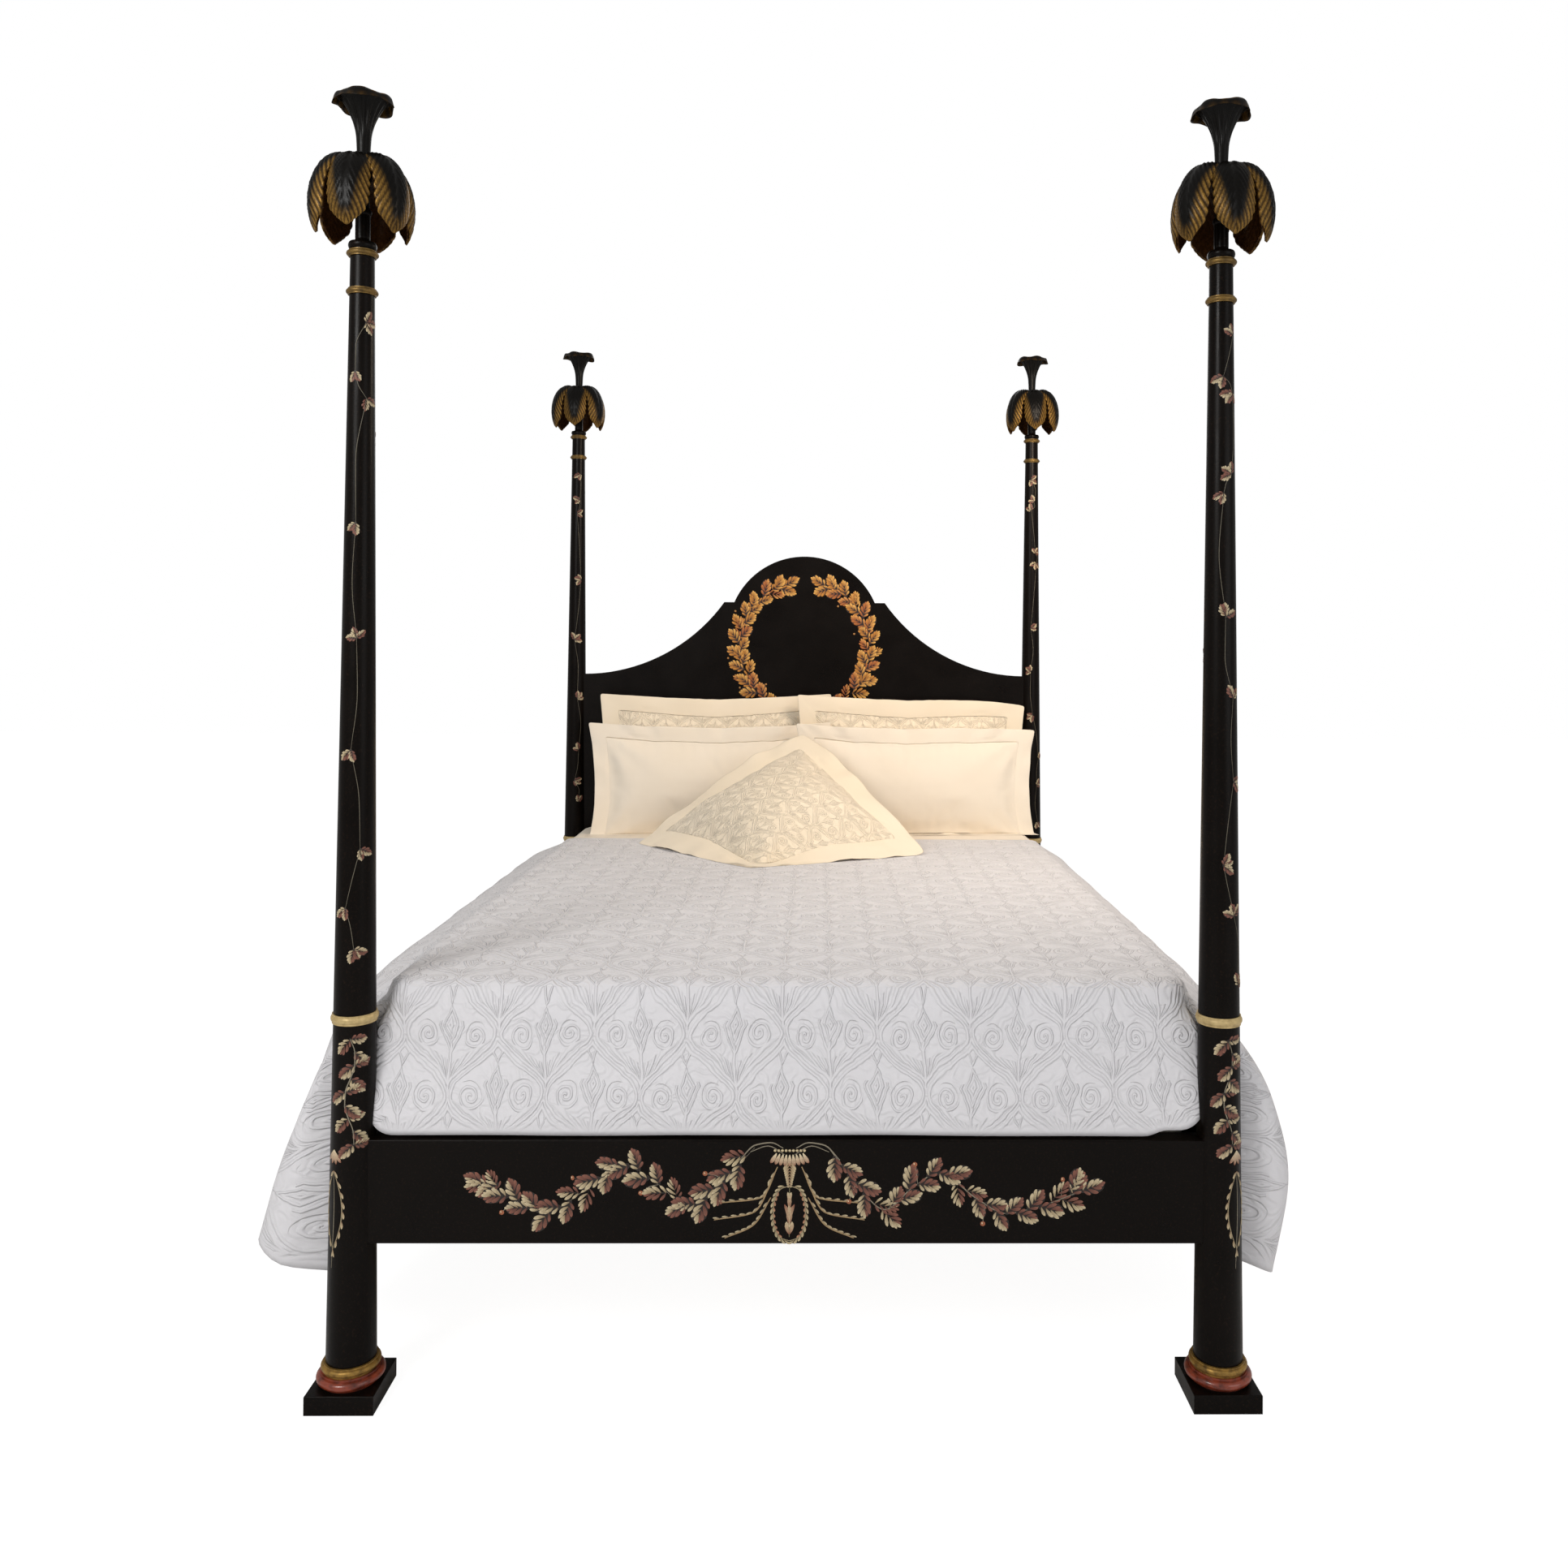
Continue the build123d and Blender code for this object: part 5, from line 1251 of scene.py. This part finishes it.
def brush(painting, lines, halfWidths, lift, first, last):
    # Adds strokes: lines is strokes x points x 2 on the flat, halfWidths is strokes x points. Each stroke
    # is three points wide with a raised middle, and its colour runs from first to last, which are hex or a
    # row a stroke.
    way = np.gradient(lines, axis=1)
    way = way / np.maximum(np.linalg.norm(way, axis=2, keepdims=True), 1e-9)
    side = np.stack([-way[..., 1], way[..., 0]], axis=-1) * halfWidths[..., None]
    flat = np.stack([lines + side, lines, lines - side], axis=2)
    over = painting["order"] % 9 * 0.12 * mm  # later leaves lie over earlier ones
    high = np.broadcast_to(np.array([-0.25 * mm, lift, -0.25 * mm]) + over, flat.shape[:-1])
    index = np.arange(flat.shape[0] * flat.shape[1] * 3).reshape(flat.shape[:3]) + painting["count"]
    faces = np.stack([index[:, :-1, :-1], index[:, :-1, 1:], index[:, 1:, 1:], index[:, 1:, :-1]], axis=-1)
    share = np.linspace(0, 1, flat.shape[1])[None, :, None, None]
    first, last = (np.broadcast_to(linear(end) if isinstance(end, str) else end,
                                   (len(lines), 4))[:, None, None]
                   for end in (first, last))
    colours = np.broadcast_to((1 - share) * first + share * last, (*flat.shape[:-1], 4))
    painting["points"].append(np.concatenate([flat, high[..., None]], axis=-1).reshape(-1, 3))
    painting["faces"].append(faces.reshape(-1, 4))
    painting["colours"].append(colours.reshape(-1, 4))
    painting["count"] += index.size


def commas(painting, starts, angles, lengths, widths, bends, lift, first, last):
    # Comma strokes from their starting points, each bending to one side by a share of its length. One value
    # can stand for all of them.
    starts = np.atleast_2d(starts)
    angles, lengths, widths, bends = (np.broadcast_to(np.asarray(v, float), len(starts))
                                      for v in (angles, lengths, widths, bends))
    ahead = np.stack([np.cos(angles), np.sin(angles)], axis=-1)
    aside = np.stack([-ahead[:, 1], ahead[:, 0]], axis=-1)
    t = strokeShares[None, :, None]
    bent = ahead[:, None] * t + aside[:, None] * bends[:, None, None] * t**2
    lines = starts[:, None] + lengths[:, None, None] * bent
    brush(painting, lines, widths[:, None] / 2 * strokeWidths, lift, first, last)


def thread(painting, points, width, colour, lift=0.15 * mm):
    # a thin painted line through a few points, thinner at its ends
    places = wayAlong(np.array(points))
    at = np.linspace(0, places[-1], max(8, round(places[-1] / 0.006)))
    line = smoothThrough(at, places, np.array(points))[None]
    taper = 0.45 + 0.55 * np.sin(math.pi * np.clip(np.linspace(0.08, 0.92, len(at)), 0, 1))
    brush(painting, line, (width / 2 * taper)[None], lift, colour, colour)


def oakLeaf(painting, place, angle, length, colours, dice):
    # one leaf: strokes out from its middle on both sides, shortest at its foot and its tip, and one at the
    # tip over a dark shape of the whole leaf
    fractions = np.array([0.08, 0.27, 0.46, 0.63])
    reaches = np.array([0.34, 0.44, 0.42, 0.32]) * length
    spreads = np.radians([60, 50, 41, 31])
    painting["order"] += 1
    ahead = np.array([[math.cos(angle), math.sin(angle)]])
    commas(painting, np.array([place]) - 0.03 * length * ahead, angle, 1.02 * length, 0.60 * length, 0.0,
           -0.1 * mm,
           colours[2], colours[2])
    for side, (dark, light) in ((1, colours[0]), (-1, colours[1])):
        jitter = dice.uniform(-0.07, 0.07, 4)
        starts = np.array(place) + length * fractions[:, None] * ahead
        commas(painting, starts, angle + side * (spreads + jitter), reaches * (1 + jitter),
               reaches * 0.33 + 0.8 * mm,
               -0.22 * side, 0.55 * mm, dark, light)
    tip = np.array(place) + 0.66 * length * ahead
    dark, light = colours[1]
    commas(painting, tip, angle, 0.36 * length, 0.15 * length, dice.uniform(-0.1, 0.1), 0.5 * mm,
           dark, light)
    thread(painting, [np.array(place), np.array(place) + 0.7 * length * ahead[0]], 1.3 * mm, colours[2],
           0.62 * mm)


def berry(painting, place, size, colour, light):
    # a round dab with a light spot
    for radius, shift, tint, lift in ((size / 2, 0, colour, 0.5 * mm),
                                      (size / 5, size * 0.12, light, 0.9 * mm)):
        t = np.linspace(-1, 1, 9)
        line = np.stack([place[0] - shift + 0 * t, place[1] + shift + radius * t], axis=-1)[None]
        brush(painting, line, (radius * np.sqrt(np.maximum(1 - t**2, 0.0004)))[None], lift, tint, tint)


def hangPainting(painting, name, ontoSurface):
    points = np.concatenate(painting["points"])
    piece = makeMesh(name, ontoSurface(points[:, 0], points[:, 1], points[:, 2]),
                     np.concatenate(painting["faces"]),
                     enamel, paint=np.concatenate(painting["colours"]))
    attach(piece, "bed")
    return piece


enamel = paintFinish()
# a leaf's colours: each half's strokes from dark to light, and the shade under it
goldLeaf = [("#7a4412", "#d99330"), ("#8a4f16", "#f5bd5c"), "#22110a"]
goldLeafRed = [("#743213", "#c6752a"), ("#84421a", "#eaa650"), "#22100a"]
creamRusset = [("#8c7656", "#dccba6"), ("#4c281f", "#935d4b"), "#1d120d"]
russetCream = [("#4c281f", "#935d4b"), ("#8c7656", "#dccba6"), "#1d120d"]
stemColour = "#8d8471"

wreath = {
    # degrees, left half, up its branch
    "centre": (1 * mm, 1.370), "radius": 228 * mm, "from": 248, "to": 117,
    "step": 47 * mm, "leaf": 60 * mm, "seed": 31,
}


def paintWreath(settings):
    # two branches on a circle, each with an outer, an inner and a middle leaf at every step, open at the top
    painting, dice = newPainting(), np.random.default_rng(settings["seed"])
    first, last = math.radians(settings["from"]), math.radians(settings["to"])
    steps = round((first - last) * settings["radius"] / settings["step"])
    for mirror in (1, -1):
        for n in range(steps + 1):
            around = first + (last - first) * n / steps
            radius = settings["radius"] * (1 + 0.02 * dice.uniform(-1, 1))
            place = np.array([settings["centre"][0] + mirror * radius * math.cos(around),
                              settings["centre"][1] + radius * math.sin(around)])
            grow = around - math.pi / 2  # up the left branch
            size = settings["leaf"] * (0.86 + 0.2 * dice.uniform())
            for turn, offset in ((0.75, 0.0), (-0.70, 0.35), (0.05, 0.7)):
                if turn == 0.05 and n % 2 and n < steps:
                    continue
                lean = grow + turn + dice.uniform(-0.12, 0.12)
                foot = place + settings["step"] * offset * np.array([mirror * math.cos(grow),
                                                                     math.sin(grow)])
                direction = lean if mirror > 0 else math.pi - lean
                tones = goldLeafRed if dice.uniform() < 0.28 else goldLeaf
                oakLeaf(painting, foot, direction, size, tones, dice)
            if dice.uniform() < 0.2:
                way = np.array([mirror * math.cos(around), math.sin(around)])
                out = place + 44 * mm * way * dice.choice([-1, 1])
                berry(painting, out, 7 * mm, "#a8702e", "#f0cf8e")
    return painting


def boardFront(y):
    return lambda x, z, lift: np.stack([x, y - lift, z], axis=-1)


hangPainting(paintWreath(wreath), "headboard_wreath", boardFront(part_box("headboard")[0][1]))

garland = {
    # its wavy stem on the footboard, from the middle outwards to the left tip, then to the right tip
    "stems": [
        [(-0.060, 0.463), (-0.120, 0.400), (-0.178, 0.356), (-0.245, 0.402), (-0.299, 0.432),
         (-0.370, 0.385),
         (-0.442, 0.345), (-0.505, 0.372), (-0.548, 0.396)],
        [(0.075, 0.463), (0.125, 0.400), (0.179, 0.350), (0.232, 0.392), (0.280, 0.418), (0.345, 0.372),
         (0.403, 0.343), (0.470, 0.358), (0.540, 0.384)],
    ],
    "step": 21 * mm, "leaf": 46 * mm, "seed": 41,
}


def paintGarland(settings):
    painting, dice = newPainting(), np.random.default_rng(settings["seed"])
    for stem in settings["stems"]:
        stem = np.array(stem)
        thread(painting, stem, 2.2 * mm, stemColour)
        places = wayAlong(stem)
        at = np.arange(0.02, places[-1], settings["step"])
        spots = smoothThrough(at, places, stem)
        ahead = smoothThrough(at + 0.004, places, stem) - spots
        for n, (spot, way) in enumerate(zip(spots, ahead, strict=True)):
            angle = math.atan2(way[1], way[0])
            side = 1 if n % 2 else -1
            tones = creamRusset if side * (1 if stem[-1, 0] > 0 else -1) > 0 else russetCream
            size = settings["leaf"] * (0.88 + 0.2 * dice.uniform())
            oakLeaf(painting, spot, angle + side * dice.uniform(0.45, 0.75), size, tones, dice)
            if n % 7 == 3:
                off = angle - side * 1.1
                end = spot + 36 * mm * np.array([math.cos(off), math.sin(off)])
                thread(painting, [spot, (spot + end) / 2 + [0, 4 * mm], end], 1.4 * mm, stemColour)
                berry(painting, end, 9 * mm, "#a3603f", "#e8d6b0")
        last = smoothThrough(np.array([places[-1]]), places, stem)[0]
        outwards = 0.35 if stem[-1, 0] > 0 else math.pi - 0.35
        oakLeaf(painting, last, outwards, settings["leaf"], creamRusset, dice)
        oakLeaf(painting, last - [0.02 * np.sign(stem[-1, 0]), 0], outwards + 0.8, settings["leaf"],
                russetCream, dice)
    paintPendant(painting)
    return painting


def paintPendant(painting):
    # the middle of the garland: arching stems, a row of pearls over petals, a feathered body, an oval of
    # two leafy stems round a bud, and three curved rays to each side
    x0 = 4 * mm
    cream, russet, green = "#d9c7a0", "#8c4e38", "#8f8a68"
    for side in (-1, 1):
        thread(painting, [(x0 + side * 12 * mm, 0.462), (x0 + side * 34 * mm, 0.472),
                          (x0 + side * 62 * mm, 0.468),
                          (x0 + side * 92 * mm, 0.440)], 2.4 * mm, stemColour)
        thread(painting, [(x0 + side * 9 * mm, 0.450), (x0 + side * 40 * mm, 0.466),
                          (x0 + side * 72 * mm, 0.455)],
               1.6 * mm, stemColour)
        for start, middle, end in (((22, 0.428), (52, 0.372), (128, 0.362)),
                                   ((26, 0.420), (66, 0.345), (138, 0.331)),
                                   ((34, 0.372), (66, 0.322), (118, 0.298))):
            line = [(x0 + side * start[0] * mm, start[1]), (x0 + side * middle[0] * mm, middle[1]),
                    (x0 + side * end[0] * mm, end[1])]
            thread(painting, line, 3.0 * mm, "#a58a63", 0.4 * mm)
            bend = smoothThrough(np.linspace(0.15, 1.85, 9), [0, 1, 2], np.array(line))
            slope = np.gradient(bend, axis=0)
            angles = np.arctan2(slope[:, 1], slope[:, 0])
            commas(painting, bend, angles + side * 0.5, 13 * mm, 3.2 * mm, -0.25 * side, 0.5 * mm,
                   "#6d5b44", cream)
    pearls = np.linspace(-27, 27, 9)
    for pearl in pearls:
        berry(painting, (x0 + pearl * mm, 0.4575), 5 * mm, "#cdb98f", "#f4ead0")
    petals = np.linspace(-1, 1, 9)
    starts = np.stack([x0 + petals * 24 * mm, 0.453 - 3 * mm * (1 - petals**2)], axis=-1)
    commas(painting, starts, -math.pi / 2 + 0.45 * petals, 21 * mm, 7.5 * mm, 0.1 * petals, 0.6 * mm,
           "#f0e0bb",
           russet)
    # feathered body: pairs of strokes, smaller downwards
    for n in range(9):
        z, reach = 0.436 - 5.2 * mm * n, (17 - 1.5 * n) * mm
        for side in (-1, 1):
            commas(painting, (x0, z), -math.pi / 2 + side * 0.95, reach, 4.5 * mm, -0.25 * side,
                   (0.5 + 0.03 * n) * mm, "#8c6a48", cream)
    # the oval's two leafy stems, with small strokes outwards
    for side in (-1, 1):
        t = np.linspace(0, math.pi, 15)
        oval = np.stack([x0 + side * 30 * mm * np.sin(t) ** 0.8, 0.343 + 50 * mm * np.cos(t)], axis=-1)
        thread(painting, oval[::2], 2.2 * mm, "#a09070", 0.35 * mm)
        starts = oval[1:-1]
        slope = np.gradient(oval, axis=0)[1:-1]
        angles = np.arctan2(slope[:, 1], slope[:, 0]) + side * 0.55
        commas(painting, starts, angles, 12 * mm, 4.2 * mm, -0.3 * side, 0.5 * mm, "#7b6a48", cream)
        commas(painting, starts[2:-2], angles[2:-2] - side * 1.2, 8 * mm, 3.4 * mm, 0.3 * side,
               0.45 * mm, russet,
               "#c79a76")
        # bud: petals that close upwards over a lower pair
        for z, lean, reach, tones in ((0.322, 0.30, 34, (russet, cream)), (0.318, 0.12, 40, (cream, russet)),
                                      (0.352, 0.22, 28, (russet, cream)),
                                      (0.305, 0.55, 22, (russet, cream))):
            commas(painting, (x0, z), math.pi / 2 - side * lean, reach * mm, 7 * mm, 0.35 * side,
                   0.6 * mm, *tones)
    thread(painting, [(x0, 0.390), (x0, 0.300)], 1.6 * mm, green, 0.3 * mm)


hangPainting(paintGarland(garland), "footboard_garland", boardFront(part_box("footboard")[0][1]))

postPainting = {
    # heights of the little leaf clusters on the side that faces the foot of the bed
    "left": [1.973, 1.882, 1.833, 1.603, 1.392, 1.188, 1.007, 0.901, 0.826],
    "right": [1.966, 1.887, 1.857, 1.706, 1.671, 1.442, 1.291, 1.138, 0.984, 0.891, 0.763],
    "footRadius": 45 * mm, "neckRadius": 21.5 * mm, "footHeight": 0.034, "neckHeight": 2.113,
    "leaf": 25 * mm,
}


def postRadius(z):
    share = (z - postPainting["footHeight"]) / (postPainting["neckHeight"] - postPainting["footHeight"])
    return postPainting["footRadius"] + (postPainting["neckRadius"] - postPainting["footRadius"]) * share


def paintPost(corner, sideX, seed):
    # Across is measured round the post from the line that faces the foot of the bed. Clusters of two to
    # four small leaves, half of them round the back, on a thin wandering stem; then the spray and the
    # pendant under the ring.
    painting, dice = newPainting(), np.random.default_rng(seed)
    heights = postPainting["left" if sideX < 0 else "right"]
    allHeights = [(z, 0.0) for z in heights] + [(z - 0.07, math.pi) for z in heights]
    path = []
    for z, behind in sorted(allHeights, reverse=True):
        r = float(postRadius(z))
        across = r * (behind + dice.uniform(-0.55, 0.55) + (0.35 if not behind else 0))
        path.append((across if not behind else across - 2 * math.pi * r * (dice.uniform() < 0.5), z))
        turn = dice.uniform(0, 2 * math.pi)
        for k in range(dice.integers(2, 4)):
            tones = creamRusset if dice.uniform() < 0.6 else russetCream
            oakLeaf(painting, (across, z), turn + k * dice.uniform(0.7, 1.2),
                    postPainting["leaf"] * dice.uniform(0.8, 1.1),
                    tones, dice)
    front = [(x, z) for x, z in path if abs(x) < 1.4 * postRadius(z)]
    for (xa, za), (xb, zb) in zip(front, front[1:]):
        bow = dice.uniform(-0.5, 0.5) * 22 * mm
        thread(painting, [(xa, za), ((xa + xb) / 2 + bow, (za + zb) / 2), (xb, zb)], 1.1 * mm, "#6f6858")
    # the spray under the middle ring
    t = np.linspace(0, 1, 9)
    stem = np.stack([9 * mm * np.sin(2.6 * math.pi * t) + 6 * mm, 0.664 - 0.19 * t], axis=-1)
    thread(painting, stem, 2 * mm, stemColour)
    for n, (x, z) in enumerate(stem):
        side = 1 if n % 2 else -1
        tones = creamRusset if n % 3 else russetCream
        oakLeaf(painting, (x, z), -math.pi / 2 + side * dice.uniform(0.7, 1.0), 36 * mm, tones, dice)
        if n % 2 == 0:
            oakLeaf(painting, (x, z), -math.pi / 2 - side * dice.uniform(1.5, 1.9), 30 * mm, tones, dice)
    # bell, then the feathered pendant, turned to the post's outer side
    middle = sideX * 24 * mm
    for lean in (-0.5, -0.17, 0.17, 0.5):
        commas(painting, (middle, 0.463), -math.pi / 2 + lean, 26 * mm, 7 * mm, 0.3 * lean, 0.55 * mm,
               "#e6d6b2",
               "#8c4e38")
    for side in (-1, 1):
        arc = np.stack([middle + side * 19 * mm * np.sin(math.pi * t) ** 0.9, 0.425 - 0.14 * t], axis=-1)
        thread(painting, arc, 2 * mm, "#a09070", 0.35 * mm)
        slope = np.gradient(arc, axis=0)
        angles = np.arctan2(slope[:, 1], slope[:, 0]) + side * 0.5
        commas(painting, arc, angles, 14 * mm, 4.4 * mm, -0.3 * side, 0.5 * mm, "#7b5a40", "#d9c7a0")
    thread(painting, [(middle, 0.425), (middle + 2 * mm, 0.36), (middle - 3 * mm, 0.25)], 1.6 * mm,
           stemColour)
    low, high = (np.array(c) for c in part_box("plinth_" + corner))
    axisX, axisY = (low[0] + high[0]) / 2, (low[1] + high[1]) / 2

    def roundPost(across, z, lift):
        r = postRadius(z)
        return np.stack([axisX + (r + lift) * np.sin(across / r), axisY - (r + lift) * np.cos(across / r),
                         z], axis=-1)

    hangPainting(painting, "painted_sprays_" + corner, roundPost)


for n, (corner, sideX) in enumerate(corners.items()):
    paintPost(corner, sideX, 50 + n)
print("ornament painted")
